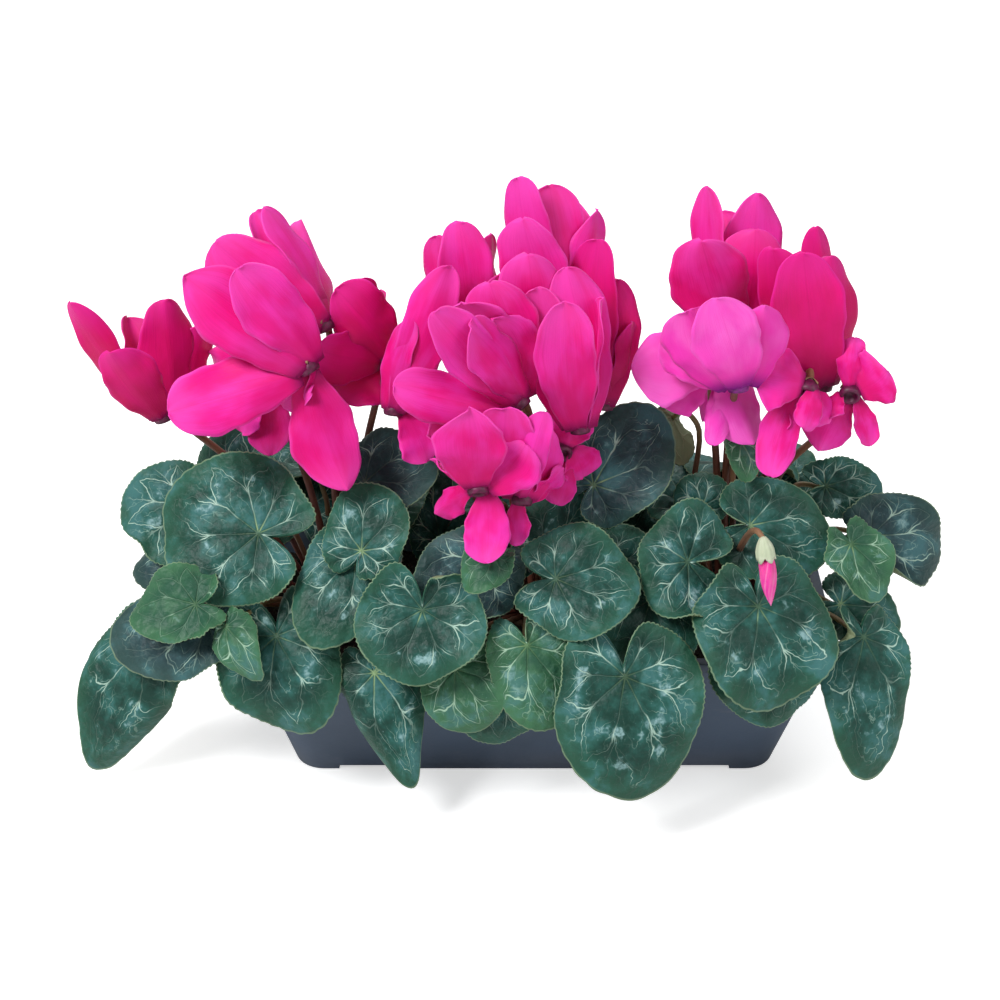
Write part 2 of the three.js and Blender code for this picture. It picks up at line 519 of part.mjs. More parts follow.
// A whole corolla: the nose and its petals as one body.
function corolla([, , noseAt, sweep, petals], thickness) {
  const nose = place(noseAt);
  const axis = new THREE.Vector3(...sweep).normalize();
  const roots = petalRoots(nose, axis, petals);
  const parts = petals.map((p, i) => petal(nose, roots[i], p, thickness));
  return mainBody(wasm.Manifold.union([flowerNose(nose, axis), ...parts]));
}

// A petiole from the crown up, over the rim where it has to be, to the underside of a leaf.
function petiole(leaf, radius) {
  const crown = CROWNS[leaf.plant];
  const { heart, face } = leafFrame(leaf);
  const end = heart.clone().addScaledVector(face, -(LEAF_THICKNESS / 2 + GAP));
  const flat = end.clone().sub(crown).setZ(0);
  const start = crown.clone().addScaledVector(flat.clone().normalize(), 12).setZ(crown.z + 3);
  const under = end.clone().addScaledVector(face, -9);
  const clearOfRim = Math.max(under.z, TROUGH_HEIGHT + 12);
  const past = Math.abs(under.x) > RIM.length / 2 - 20 || Math.abs(under.y) > RIM.width / 2 - 20;
  const before = under.clone().addScaledVector(flat, -0.25).setZ(past ? clearOfRim : under.z - 8);
  const rise = start.clone().addScaledVector(flat, 0.25).setZ(0.45 * start.z + 0.55 * before.z);
  return stalk([start, rise, before, under, end], radius, 5);
}

// A flower stalk that rises behind its flower and hooks over into the top of the nose.
function flowerStalk([, plant, noseAt, sweep], radius) {
  const crown = CROWNS[plant];
  const nose = place(noseAt);
  const axis = new THREE.Vector3(...sweep).normalize();
  const end = nose.clone().addScaledVector(axis, 5.4 + GAP);
  const behind = new THREE.Vector3(0, 1, 0).addScaledVector(axis, -axis.y);
  behind.addScaledVector(UP, -0.2).normalize();
  const hook = nose.clone().addScaledVector(axis, 15).addScaledVector(behind, 6);
  const elbow = nose.clone().addScaledVector(behind, 13).addScaledVector(axis, 2);
  const away = elbow.clone().sub(crown);
  const start = crown.clone().add(new THREE.Vector3(0.12 * away.x, 0.12 * away.y, 4));
  const middle = crown.clone().add(new THREE.Vector3(0.5 * away.x, 0.2 * away.y, 0.6 * away.z));
  return stalk([start, middle, elbow, hook, end], radius, 8);
}

// Every leaf with its real heart, tip and facing.
function layOutLeaves() {
  const shape = ([width, roll, cup, arch, wave, taper = 0]) => ({ width, roll, cup, arch, wave, taper });
  const front = LEAVES.map(([name, plant, heart, tip, layer, ...rest]) => {
    const down = onSkirt([heart[0], heart[1] + 1]).sub(onSkirt(heart));
    const across = onSkirt([heart[0] + 1, heart[1]]).sub(onSkirt(heart));
    const normal = down.cross(across).normalize();
    return { name, plant, heart: onSkirt(heart, layer), tip: onSkirt(tip, layer), normal, ...shape(rest) };
  });
  const rear = CROWNS.flatMap((crown, plant) => {
    const hand = new THREE.Vector3(plant === 0 ? -1 : 1, 1, 1);
    const from = (offset) => new THREE.Vector3(...offset).multiply(hand).add(crown);
    return REAR_LEAVES.filter((row) => plant >= row[4]).map(([heart, tip, width, lean], i) => ({
      name: `leaves_rear_${PLANTS[plant]}`,
      plant,
      heart: from(heart),
      tip: from(tip).add(new THREE.Vector3(0, 0, 8 * (draw(9 * plant + i) - 0.5))),
      normal: new THREE.Vector3(0, lean, 1),
      ...shape([width, 0, -3, 5, 3]),
    }));
  });
  return [...front, ...rear].map((leaf, i) => ({ ...leaf, phase: 2 * Math.PI * draw(i) }));
}

// The bud's furled petals and, for the stalk's node, its hook and calyx.
function budPetals() {
  const foot = place(BUD.foot);
  const axis = place(BUD.tip).sub(foot);
  const profile = [[0, GAP], [3.6, GAP], [5.2, 8], [3.8, 17], [0, axis.length()]];
  const lathe = new THREE.LatheGeometry(profile.map(([x, y]) => new THREE.Vector2(x, y)), 8);
  lathe.applyQuaternion(new THREE.Quaternion().setFromUnitVectors(new THREE.Vector3(0, 1, 0), axis.normalize()));
  return solidOf(lathe.translate(foot.x, foot.y, foot.z));
}

function budStalk(radius) {
  const crown = CROWNS[BUD.plant];
  const [hook, calyx, foot] = [BUD.hook, BUD.calyx, BUD.foot].map(place);
  const middle = crown.clone().lerp(hook, 0.5).add(new THREE.Vector3(0, 6, 8));
  const stem = stalk([crown.clone().setZ(crown.z + 3), middle, hook, calyx], radius, 6);
  const axis = foot.clone().sub(calyx);
  const length = axis.length();
  const profile = [[0, -1], [2.4, 0], [5, 0.6 * length], [4.6, length], [0, length]];
  const lathe = new THREE.LatheGeometry(profile.map(([x, y]) => new THREE.Vector2(x, y)), 8);
  lathe.applyQuaternion(new THREE.Quaternion().setFromUnitVectors(new THREE.Vector3(0, 1, 0), axis.normalize()));
  return wasm.Manifold.union([stem, solidOf(lathe.translate(calyx.x, calyx.y, calyx.z))]);
}

// Pieces that cross are fused into one body, named after the first of them.
function fuseCrossing(pieces) {
  const bodies = [];
  for (const [name, piece] of pieces) {
    let joined = { name, solid: piece };
    for (const other of [...bodies]) {
      if (other.solid.intersect(joined.solid).volume() > 0) {
        joined = { name: other.name, solid: other.solid.add(joined.solid) };
        bodies.splice(bodies.indexOf(other), 1);
      }
    }
    bodies.push(joined);
  }
  return bodies;
}

const leaves = layOutLeaves();
const petioles = (plant, extra) =>
  leaves.filter((leaf) => leaf.plant === plant).map((leaf) => petiole(leaf, PETIOLE_RADIUS + extra));
const flowerStalks = (plant, extra) =>
  FLOWERS.filter((f) => f[1] === plant).map((f) => flowerStalk(f, FLOWER_STALK_RADIUS + extra));
const budStalks = (plant, extra) => (plant === BUD.plant ? [budStalk(FLOWER_STALK_RADIUS + extra)] : []);
const stalksOf = (plant, extra = 0) =>
  wasm.Manifold.union([
    tuber(CROWNS[plant], extra),
    ...petioles(plant, extra),
    ...flowerStalks(plant, extra),
    ...budStalks(plant, extra),
  ]);

const troughSolid = trough();
const stalks = CROWNS.map((_, plant) => mainBody(stalksOf(plant)));
const stalkRoom = wasm.Manifold.union(CROWNS.map((_, plant) => stalksOf(plant, GAP)));
const flowers = fuseCrossing(FLOWERS.map((f) => [f[0], corolla(f, PETAL_THICKNESS)]));
const blades = fuseCrossing(leaves.map((leaf) => [leaf.name, blade(leaf, LEAF_THICKNESS)]));

const MATERIALS = {
  trough: new THREE.MeshStandardMaterial({ color: 0x3d3d47, roughness: 0.75, metalness: 0 }),
  soil: new THREE.MeshStandardMaterial({ color: 0x17110d, roughness: 1, metalness: 0 }),
  stalk: new THREE.MeshStandardMaterial({ color: 0x7a5a3c, roughness: 0.6, metalness: 0 }),
  leaf: new THREE.MeshStandardMaterial({ color: 0x2c5a4b, roughness: 0.55, metalness: 0 }),
  petal: new THREE.MeshStandardMaterial({ color: 0xee1a86, roughness: 0.6, metalness: 0 }),
};

const pot = new THREE.Group();
pot.add(meshOf("trough", troughSolid, MATERIALS.trough));
pot.add(meshOf("soil", mainBody(soil().subtract(stalkRoom)), MATERIALS.soil));
stalks.forEach((solid, i) => pot.add(meshOf(`stalks_${PLANTS[i]}`, solid, MATERIALS.stalk)));
for (const { name, solid } of flowers) {
  pot.add(meshOf(name, mainBody(solid.subtract(stalkRoom)), MATERIALS.petal));
}
pot.add(meshOf("bud_petals", mainBody(budPetals().subtract(stalkRoom)), MATERIALS.petal));
for (const { name, solid } of blades) {
  pot.add(meshOf(name, mainBody(solid.subtract(stalkRoom)), MATERIALS.leaf));
}

export default pot;
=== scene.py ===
"""Potted cyclamen: three large-flowered plants in one tapered trough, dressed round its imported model."""
import json
import math

import bpy
import numpy as np
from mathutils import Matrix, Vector

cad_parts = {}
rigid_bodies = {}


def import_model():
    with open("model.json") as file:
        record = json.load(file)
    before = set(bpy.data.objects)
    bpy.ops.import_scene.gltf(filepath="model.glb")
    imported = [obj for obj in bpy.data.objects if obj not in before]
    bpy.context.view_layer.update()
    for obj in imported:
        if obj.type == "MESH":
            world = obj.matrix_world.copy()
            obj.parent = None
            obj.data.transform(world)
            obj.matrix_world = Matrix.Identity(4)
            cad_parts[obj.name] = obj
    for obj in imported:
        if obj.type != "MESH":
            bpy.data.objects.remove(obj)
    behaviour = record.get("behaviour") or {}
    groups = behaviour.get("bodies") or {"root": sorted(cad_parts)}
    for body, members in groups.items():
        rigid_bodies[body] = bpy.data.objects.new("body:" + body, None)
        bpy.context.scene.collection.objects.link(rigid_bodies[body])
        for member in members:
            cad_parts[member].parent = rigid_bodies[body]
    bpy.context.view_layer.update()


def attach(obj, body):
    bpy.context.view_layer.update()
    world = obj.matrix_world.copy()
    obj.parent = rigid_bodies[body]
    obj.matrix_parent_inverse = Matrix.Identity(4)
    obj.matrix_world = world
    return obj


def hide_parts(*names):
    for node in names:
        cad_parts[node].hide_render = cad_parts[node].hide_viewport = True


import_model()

bl_info = {
    "name": "Potted Cyclamen",
    "version": (1, 0, 0),
    "blender": (4, 5, 0),
    "location": "View3D > Sidebar > Cyclamen",
    "description": "Builds a trough of flowering cyclamen on its packed frame",
    "category": "Add Mesh",
}

# Lengths in the layout are millimetres; Blender's meshes are metres.
MM = 0.001

# The trough and the plants, as in the part's own source.
RIM_LENGTH, RIM_WIDTH, RIM_CORNER = 320, 150, 20
BASE_LENGTH, BASE_WIDTH = 266, 98
TROUGH_HEIGHT, SOIL_HEIGHT, FOOT_HEIGHT = 88, 72, 2.6
LIP_HEIGHT, LIP_REACH, LIP_DRAFT, WALL = 6.6, 4, 1.2, 2.2
DRAIN_INNER, DRAIN_OUTER, DRAIN_HOLE = 81, 108, 4
PLANTS = ["left", "middle", "right"]
CROWNS = [np.array([x, 4.0, SOIL_HEIGHT]) for x in (-105, 0, 105)]
GAP = 0.3
PETIOLE_RADIUS, FLOWER_STALK_RADIUS = 1.5, 1.9
NOSE_RADIUS, NOSE_TOP = 5.5, 5.4
TUBER_RADIUS, TUBER_HEIGHT = 19, 9

# A petiole leaves its tuber so far out and up, and ends so far below the middle of the blade, which it
# reaches at a right angle. Where it leaves the trough it keeps clear of the rim.
PETIOLE_OUT, PETIOLE_UP, PETIOLE_END, PETIOLE_APPROACH = 12, 3, 0.45, 9
RIM_MARGIN, RIM_CLEARANCE = 20, 12

# The viewpoint of the layout: a square view of 1000 units a side from in front and above.
VIEW_SIZE, VIEW_FOCAL, VIEW_DISTANCE = 1000, 2035, 1100
VIEW_ELEVATION = math.radians(30)
VIEW_TARGET = np.array([-19.0, 0.0, 144.0])
RIGHT = np.array([1.0, 0.0, 0.0])
UP = np.array([0.0, 0.0, 1.0])
FORWARD = np.array([0.0, math.cos(VIEW_ELEVATION), -math.sin(VIEW_ELEVATION)])
VIEW_UP = np.array([0.0, math.sin(VIEW_ELEVATION), math.cos(VIEW_ELEVATION)])
TO_VIEWER = -FORWARD
EYE = VIEW_TARGET - VIEW_DISTANCE * FORWARD

# The skirt of leaf layers that runs from the crowns down over the rim.
SKIRT = {
    "rimDown": 650, "rimDepth": -77, "rise": 0.365, "hang": 0.17, "middle": 520, "curve": 0.0002, "layer": 9,
}

# Leaves: node, plant, heart [across, down], tip [across, down], layer, width, roll, cup, arch, wave, and how
# far the tip is drawn out.
LEAVES = [
    ["leaf_left_broad", 0, [266, 532], [176, 506], 4, 80, 0, 2, 4, 3, 0.1],
    ["leaf_left_edge", 0, [196, 505], [128, 526], 2, 54, -10, -2, 4, 3],
    ["leaf_left_back", 0, [236, 482], [204, 440], -1, 50, 0, -2, 3, 3],
    ["leaf_left_slate", 0, [190, 562], [140, 568], 1, 34, 0, -2, 4, 3],
    ["leaf_left_bright", 0, [208, 600], [149, 608], 5, 42, 0, 1, 3, 3, 0.15],
    ["leaf_left_blue", 0, [214, 620], [128, 644], 3, 54, 0, -2, 4, 3],
    ["leaf_left_low", 0, [152, 640], [96, 765], 1, 58, -8, -3, 6, 4, 0.45],
    ["leaf_left_folded", 0, [236, 622], [264, 675], 4.4, 26, 10, -4, 3, 2, 0.3],
    ["leaf_left_front", 0, [280, 634], [302, 728], 2, 66, 0, -3, 5, 3],
    ["leaf_left_heart", 0, [360, 553], [322, 640], 3, 52, 0, 2, 4, 3, 0.1],
    ["leaf_left_lobe", 0, [366, 549], [394, 490], 4, 44, 0, 2, 2, 3],
    ["leaf_left_dark", 0, [366, 482], [434, 460], 1, 46, 0, 1, 3, 4],
    ["leaf_mid_curled", 1, [425, 606], [424, 677], 4, 66, 0, 5, 0, 3],
    ["leaf_mid_slate", 1, [484, 560], [424, 632], 2.6, 54, 0, -2, 4, 4, 0.2],
    ["leaf_mid_small", 1, [494, 552], [468, 584], 6, 25, 0, 0, 2, 3, 0.1],
    ["leaf_mid_lime", 1, [456, 666], [478, 729], 2.3, 44, 8, -2, 3, 3],
    ["leaf_mid_veined", 1, [527, 642], [552, 718], 3, 48, 0, -2, 4, 3],
    ["leaf_mid_rear", 1, [542, 558], [566, 490], 1.4, 40, 0, 1, 2, 3],
    ["leaf_mid_round", 1, [554, 576], [632, 584], 4, 58, 0, 2, 3, 3],
    ["leaf_mid_tucked", 1, [604, 566], [643, 536], 1, 34, 10, 0, 2, 2],
    ["leaf_mid_band", 1, [648, 598], [648, 672], 2, 56, 0, -2, 4, 3],
    ["leaf_mid_front", 1, [621, 671], [636, 785], 4, 78, 0, -2, 6, 4, 0.1],
    ["leaf_mid_under", 1, [492, 684], [502, 742], 1.2, 46, 0, -2, 3, 2],
    ["leaf_mid_draped", 1, [376, 671], [412, 777], 1.4, 46, -12, -5, 4, 3, 0.5],
    ["leaf_mid_dark", 1, [592, 485], [664, 424], 2.4, 52, 0, 2, 4, 4],
    ["leaf_right_twin", 2, [683, 560], [637, 552], 3, 66, 0, 2, 3, 4],
    ["leaf_right_peep", 2, [700, 506], [702, 472], 1, 30, 0, 0, 2, 2],
    ["leaf_right_plate", 2, [746, 525], [820, 538], 2, 56, 8, 1, 3, 3],
    ["leaf_right_front", 2, [750, 603], [764, 702], 4, 72, 0, 2, 5, 3],
    ["leaf_right_chip", 2, [734, 444], [738, 481], 3.8, 21, 0, 1, 2, 2, 0.3],
    ["leaf_right_turned", 2, [672, 418], [688, 458], 0, 24, 150, 3, 2, 3],
    ["leaf_right_under", 2, [762, 662], [776, 716], 2, 64, 0, -1, 5, 3, 0.1],
    ["leaf_right_low", 2, [856, 634], [864, 770], 2.7, 50, 8, -4, 5, 3, 0.12],
    ["leaf_right_round", 2, [840, 542], [868, 594], 4, 36, 0, 2, 1, 2],
    ["leaf_right_far", 2, [868, 536], [942, 556], 1, 50, 14, -2, 4, 4],
    ["leaf_right_back", 2, [826, 486], [876, 490], 0, 34, 10, 0, 3, 3],
    ["leaf_right_shade", 2, [840, 604], [896, 632], 0.4, 38, 8, -2, 3, 2],
]

# Leaves that are younger and greener, or bluer, than the grown ones.
LEAF_KINDS = {
    "leaf_left_bright": "young", "leaf_mid_small": "young", "leaf_mid_lime": "young",
    "leaf_right_chip": "young", "leaf_mid_veined": "young", "leaf_right_round": "young",
    "leaf_left_folded": "young", "leaf_left_slate": "slate", "leaf_left_blue": "slate",
    "leaf_mid_slate": "slate", "leaf_mid_dark": "slate", "leaf_left_dark": "slate",
    "leaf_right_far": "slate",
}

# Flowers: node, plant, nose, the way the petals sweep back, and five petals, each its tip, width,
# face (0 outwards, 1 to the viewer), belly and twist.
FLOWERS = [
    ["flower_left_outer", 0, [163, 416, -20], [-0.3, 0.1, 0.95], [
        [[74, 304, -24], 22, 0.6, 5, 10], [[112, 352, -46], 30, 0.6, 7, 0], [[164, 302, -2], 33, 0.5, 5, 0],
        [[204, 326, 8], 28, 0.5, 5, 0], [[130, 318, 26], 28, 0, 4, 0]]],
    ["flower_left_front", 0, [309, 368, -46], [-0.5, 0.3, 0.8], [
        [[170, 408, -62], 38, 0.9, 4, 0], [[242, 270, -58], 34, 0.9, 4, 0], [[346, 488, -62], 37, 0.9, 4, 0],
        [[326, 422, -34], 28, 0.6, 3, 0], [[188, 276, -50], 42, 0.8, 4, 0]]],
    ["flower_left_top", 0, [324, 326, -22], [-0.4, 0.2, 0.9], [
        [[268, 208, -8], 24, 0.5, 6, -20], [[217, 244, -22], 40, 0.9, 4, 0], [[256, 214, 16], 24, 0, 3, 0],
        [[300, 226, 34], 30, 0, 4, 0], [[228, 262, -4], 34, 0.6, 3, 0]]],
    ["flower_left_right", 0, [384, 358, -6], [-0.3, 0.1, 0.95], [
        [[356, 282, 2], 24, 0.3, 6, 20], [[342, 290, -20], 34, 0.8, 4, 0], [[320, 348, -34], 32, 0.7, 3, 0],
        [[342, 396, -28], 34, 0.8, 3, 0], [[380, 290, 26], 28, 0, 3, 0]]],
    ["flower_left_hidden", 0, [264, 388, -6], [-0.1, 0.3, 0.9], [
        [[243, 434, -10], 17, 0.8, 2, 0], [[273, 454, -12], 26, 0.8, 2, 0], [[214, 350, 12], 32, 0.5, 3, 0],
        [[262, 320, 22], 30, 0, 3, 0], [[312, 396, -50], 20, 0.4, 2, 0]]],
    ["flower_mid_low", 1, [478, 490, -84], [-0.1, 0.7, 0.7], [
        [[468, 414, -96], 38, 0.9, 4, 0], [[528, 448, -84], 32, 0.8, 4, 0], [[490, 562, -100], 25, 0.9, 3, 0],
        [[436, 512, -72], 16, 0.7, 2, 0], [[440, 462, -56], 26, 0.3, 3, 0]]],
    ["flower_mid_low_right", 1, [522, 500, -76], [0.1, 0.6, 0.8], [
        [[508, 410, -82], 34, 0.8, 3, 0], [[546, 416, -84], 18, 0.6, 3, 0], [[516, 545, -78], 14, 0.8, 2, 0],
        [[564, 470, -72], 22, 0.5, 3, 0], [[552, 430, -66], 22, 0.4, 3, 0]]],
    ["flower_mid_right_front", 1, [580, 428, -52], [-0.1, 0.25, 0.95], [
        [[540, 292, -50], 30, 0.8, 5, 0], [[562, 308, -76], 32, 0.8, 7, 0], [[574, 270, -42], 36, 0.7, 6, 0],
        [[604, 300, -46], 30, 0.3, 3, 0], [[566, 304, -34], 28, 0, 2, 0]]],
    ["flower_mid_left_front", 1, [520, 404, -66], [-0.6, 0.4, 0.6], [
        [[398, 386, -86], 28, 0.9, 4, 0], [[436, 314, -90], 28, 0.6, 4, 20], [[430, 434, -78], 32, 0.8, 4, 0],
        [[470, 326, -84], 30, 0.7, 3, 10], [[496, 322, -64], 38, 0.7, 2, 0]]],
    ["flower_mid_top", 1, [560, 328, -12], [-0.1, 0.3, 0.95], [
        [[519, 182, -8], 26, 0.7, 5, 10], [[550, 188, 4], 37, 0.8, 4, 0], [[596, 212, 4], 26, 0.5, 5, -20],
        [[526, 222, -26], 36, 0.8, 4, 0], [[572, 200, 34], 30, 0, 3, 0]]],
    ["flower_mid_crown", 1, [520, 372, -40], [-0.2, 0.4, 0.9], [
        [[530, 258, -46], 40, 0.8, 5, 0], [[496, 286, -58], 36, 0.8, 4, 0], [[466, 304, -64], 38, 0.8, 4, 0],
        [[536, 300, -24], 26, 0.2, 2, 0], [[498, 276, -20], 28, 0, 2, 0]]],
    ["flower_mid_left_top", 1, [470, 342, -10], [-0.2, 0.2, 0.95], [
        [[458, 226, -20], 30, 0.8, 5, 0], [[437, 238, -2], 20, 0.4, 4, 20], [[488, 236, 2], 24, 0.4, 4, 0],
        [[426, 276, 10], 26, 0.4, 3, 0], [[462, 242, 26], 26, 0, 3, 0]]],
    ["flower_mid_left", 1, [394, 410, -34], [0.1, 0.3, 0.9], [
        [[412, 322, -34], 17, 0.6, 4, 0], [[446, 268, -30], 28, 0.7, 3, 0], [[430, 460, -44], 24, 0.7, 3, 0],
        [[432, 340, -12], 26, 0.3, 3, 0], [[416, 356, -8], 20, 0, 2, 0]]],
    ["flower_mid_right", 1, [604, 404, -26], [0.1, 0.2, 0.95], [
        [[594, 242, -16], 30, 0.6, 5, 0], [[620, 282, -14], 30, 0.5, 6, 0], [[630, 324, -26], 17, 0.4, 4, 0],
        [[584, 300, 12], 30, 0, 4, 0], [[612, 286, 22], 28, 0, 4, 0]]],
    ["flower_mid_face", 1, [562, 452, -42], [-0.1, 0.9, 0.3], [
        [[555, 503, -54], 19, 0.9, 2, 0], [[584, 478, -40], 26, 0.7, 3, 0], [[572, 414, -32], 26, 0.7, 3, 0],
        [[534, 444, -30], 22, 0.5, 3, 0], [[540, 474, -26], 22, 0.3, 2, 0]]],
    ["flower_right_pale", 2, [738, 386, -64], [-0.1, 0.2, 0.95], [
        [[690, 312, -70], 36, 0.8, 6, 0], [[722, 298, -76], 36, 0.9, 8, 0], [[762, 306, -64], 32, 0.8, 6, 0],
        [[668, 334, -50], 28, 0.7, 4, 0], [[734, 300, -38], 32, 0, 4, 0]]],
    ["flower_right_skirt", 2, [716, 372, -36], [0.1, 0.8, 0.6], [
        [[634, 362, -44], 40, 0.8, 4, 0], [[662, 404, -40], 30, 0.7, 3, 0], [[716, 444, -52], 15, 0.9, 2, 0],
        [[750, 442, -46], 28, 0.8, 3, 0], [[704, 424, -20], 24, 0.5, 2, 0]]],
    ["flower_right_top", 2, [736, 338, -16], [-0.1, 0.3, 0.95], [
        [[708, 240, -36], 42, 0.9, 5, 0], [[708, 190, 4], 26, 0.5, 5, 0], [[752, 196, 6], 36, 0.8, 4, 0],
        [[754, 232, -10], 40, 0.8, 4, 0], [[724, 214, 30], 30, 0, 3, 0]]],
    ["flower_right_tall", 2, [822, 386, -30], [-0.1, 0.2, 0.97], [
        [[800, 254, -44], 40, 0.8, 7, 0], [[832, 258, -26], 34, 0.5, 7, 0], [[815, 230, -6], 20, 0.8, 6, 0],
        [[778, 252, -34], 30, 0.8, 4, 0], [[812, 262, 10], 28, 0, 3, 0]]],
    ["flower_right_open", 2, [850, 394, -46], [0.1, 0.9, 0.3], [
        [[888, 372, -48], 32, 0.9, 3, 0], [[870, 446, -46], 14, 0.7, 2, 0], [[818, 450, -48], 26, 0.8, 3, 0],
        [[830, 418, -56], 12, 0.7, 2, 0], [[852, 338, -38], 16, 0.5, 2, 0]]],
    ["flower_right_drooping", 2, [808, 390, -56], [0.3, 0.8, 0.5], [
        [[768, 474, -70], 22, 0.9, 3, 0], [[756, 374, -60], 36, 0.8, 3, 0], [[803, 428, -74], 15, 0.8, 2, 0],
        [[788, 434, -52], 24, 0.4, 3, 0], [[830, 424, -56], 20, 0.5, 3, 0]]],
]

# Flowers that touch share a node of the model, named after the first of them.
FUSED_FLOWERS = {
    "flower_left_right": "flower_left_front", "flower_left_hidden": "flower_left_front",
    "flower_mid_low_right": "flower_mid_top", "flower_mid_right_front": "flower_mid_top",
    "flower_mid_left_front": "flower_mid_top", "flower_mid_crown": "flower_mid_top",
    "flower_right_drooping": "flower_right_open",
}
FLOWER_KINDS = {
    "flower_right_pale": "pale", "flower_right_skirt": "pale", "flower_left_outer": "deep",
    "flower_left_right": "deep", "flower_right_tall": "deep", "flower_mid_right": "deep",
}

BUD = {
    "plant": 2,
    "hook": [757, 531, -92],
    "calyx": [763, 538, -99],
    "foot": [766, 558, -101],
    "tip": [771, 606, -103],
}

# Leaves behind each crown: heart and tip from the crown, width, how far the leaf leans back, and the
# first plant that has it. The left plant has them the other way round.
REAR_LEAVES = [
    [[-17, 56, 54], [-36, 106, 20], 54, 0.5, 0],
    [[17, 58, 52], [36, 110, 22], 54, 0.5, 0],
    [[12, 20, 80], [4, 76, 44], 62, 0.5, 0],
    [[-22, 10, 62], [-27, 60, 74], 46, -0.2, 0],
    [[24, 10, 56], [34, 60, 72], 52, -0.2, 0],
    [[-53, 28, 28], [-42, 55, 72], 43, -1.2, 1],
]


def unit(v):
    return v / np.linalg.norm(v)


def turned(v, axis, degrees):
    """A vector turned about a unit axis."""
    a = math.radians(degrees)
    return v * math.cos(a) + np.cross(axis, v) * math.sin(a) + axis * np.dot(axis, v) * (1 - math.cos(a))


def draw(n):
    """A repeatable draw from 0 to 1 for the nth small variation."""
    s = math.sin(n * 127.1 + 11.7) * 43758.5453
    return s - math.floor(s)


def place(spot):
    """A point of the layout in space: across and down the view, at a depth along Y."""
    across, down, depth = spot
    ray = FORWARD * VIEW_FOCAL + RIGHT * (across - VIEW_SIZE / 2) + VIEW_UP * (VIEW_SIZE / 2 - down)
    return EYE + ray * (depth - EYE[1]) / ray[1]


def on_skirt(spot, layer=0):
    """A point on the leaf skirt, raised towards the viewer by layers."""
    across, down = spot
    below = down - SKIRT["rimDown"]
    depth = SKIRT["rimDepth"] - below * (SKIRT["hang"] if below > 0 else SKIRT["rise"])
    depth += SKIRT["curve"] * (across - SKIRT["middle"]) ** 2
    return place((across, down, depth)) + TO_VIEWER * SKIRT["layer"] * layer


class Leaf:
    """One leaf of the layout, with its real heart, tip and facing."""

    def __init__(self, number, node, plant, heart, tip, normal, shape, kind):
        self.number, self.node, self.plant, self.kind = number, node, plant, kind
        self.heart = heart
        self.width, self.roll, self.cup, self.arch, self.wave, self.taper = (*shape, 0)[:6]
        along = tip - heart
        self.length = np.linalg.norm(along)
        self.along = along / self.length
        face = unit(normal - self.along * np.dot(normal, self.along))
        self.face = turned(face, self.along, self.roll)
        self.side = np.cross(self.face, self.along)
        self.phase = 2 * math.pi * draw(number)


def lay_out_leaves():
    """Every leaf, front ones from their places on the skirt and rear ones from their crowns."""
    leaves = []
    for node, plant, heart, tip, layer, *shape in LEAVES:
        down = on_skirt((heart[0], heart[1] + 1)) - on_skirt(heart)
        across = on_skirt((heart[0] + 1, heart[1])) - on_skirt(heart)
        normal = unit(np.cross(down, across))
        kind = LEAF_KINDS.get(node, "dark")
        heart, tip = on_skirt(heart, layer), on_skirt(tip, layer)
        leaves.append(Leaf(len(leaves), node, plant, heart, tip, normal, shape, kind))
    for plant, crown in enumerate(CROWNS):
        hand = np.array([-1 if plant == 0 else 1, 1, 1])
        for i, (heart, tip, width, lean, first) in enumerate(REAR_LEAVES):
            if plant < first:
                continue
            shape = [width, 0, -3, 5, 3]
            far = crown + hand * tip + UP * 8 * (draw(9 * plant + i) - 0.5)
            normal = np.array([0.0, lean, 1.0])
            node = f"leaves_rear_{PLANTS[plant]}"
            leaves.append(Leaf(len(leaves), node, plant, crown + hand * heart, far, normal, shape, "dark"))
    return leaves


class Curve:
    """A smooth curve through points, evenly shared out between them."""

    def __init__(self, points):
        self.points = [np.array(p, float) for p in points]

    def at(self, t):
        points, count = self.points, len(self.points)
        p = (count - 1) * t
        first = min(int(math.floor(p)), count - 2)
        rest = p - first
        b, c = points[first], points[first + 1]
        a = points[first - 1] if first > 0 else 2 * b - c
        d = points[first + 2] if first + 2 < count else 2 * c - b
        gaps = [max(np.linalg.norm(q - r), 1e-6) ** 0.5 for q, r in ((b, a), (c, b), (d, c))]
        k, m, n = gaps
        leave = ((b - a) / k - (c - a) / (k + m) + (c - b) / m) * m
        reach = ((c - b) / m - (d - b) / (m + n) + (d - c) / n) * m
        square, cube = rest * rest, rest ** 3
        return (b + leave * rest + (3 * (c - b) - 2 * leave - reach) * square
                + (2 * (b - c) + leave + reach) * cube)

    def tangent(self, t):
        low, high = max(t - 1e-4, 0), min(t + 1e-4, 1)
        return unit(self.at(high) - self.at(low))


def petiole_curve(leaf):
    """A petiole's way from the crown up, over the rim where it has to be, to under its leaf."""
    crown = CROWNS[leaf.plant]
    end = leaf.heart - leaf.face * (PETIOLE_END + GAP)
    flat = (end - crown) * [1, 1, 0]
    start = crown + unit(flat) * PETIOLE_OUT
    start[2] = crown[2] + PETIOLE_UP
    under = end - leaf.face * PETIOLE_APPROACH
    past = abs(under[0]) > RIM_LENGTH / 2 - RIM_MARGIN or abs(under[1]) > RIM_WIDTH / 2 - RIM_MARGIN
    before = under - flat * 0.25
    before[2] = max(under[2], TROUGH_HEIGHT + RIM_CLEARANCE) if past else under[2] - 8
    rise = start + flat * 0.25
    rise[2] = 0.45 * start[2] + 0.55 * before[2]
    return Curve([start, rise, before, under, end])


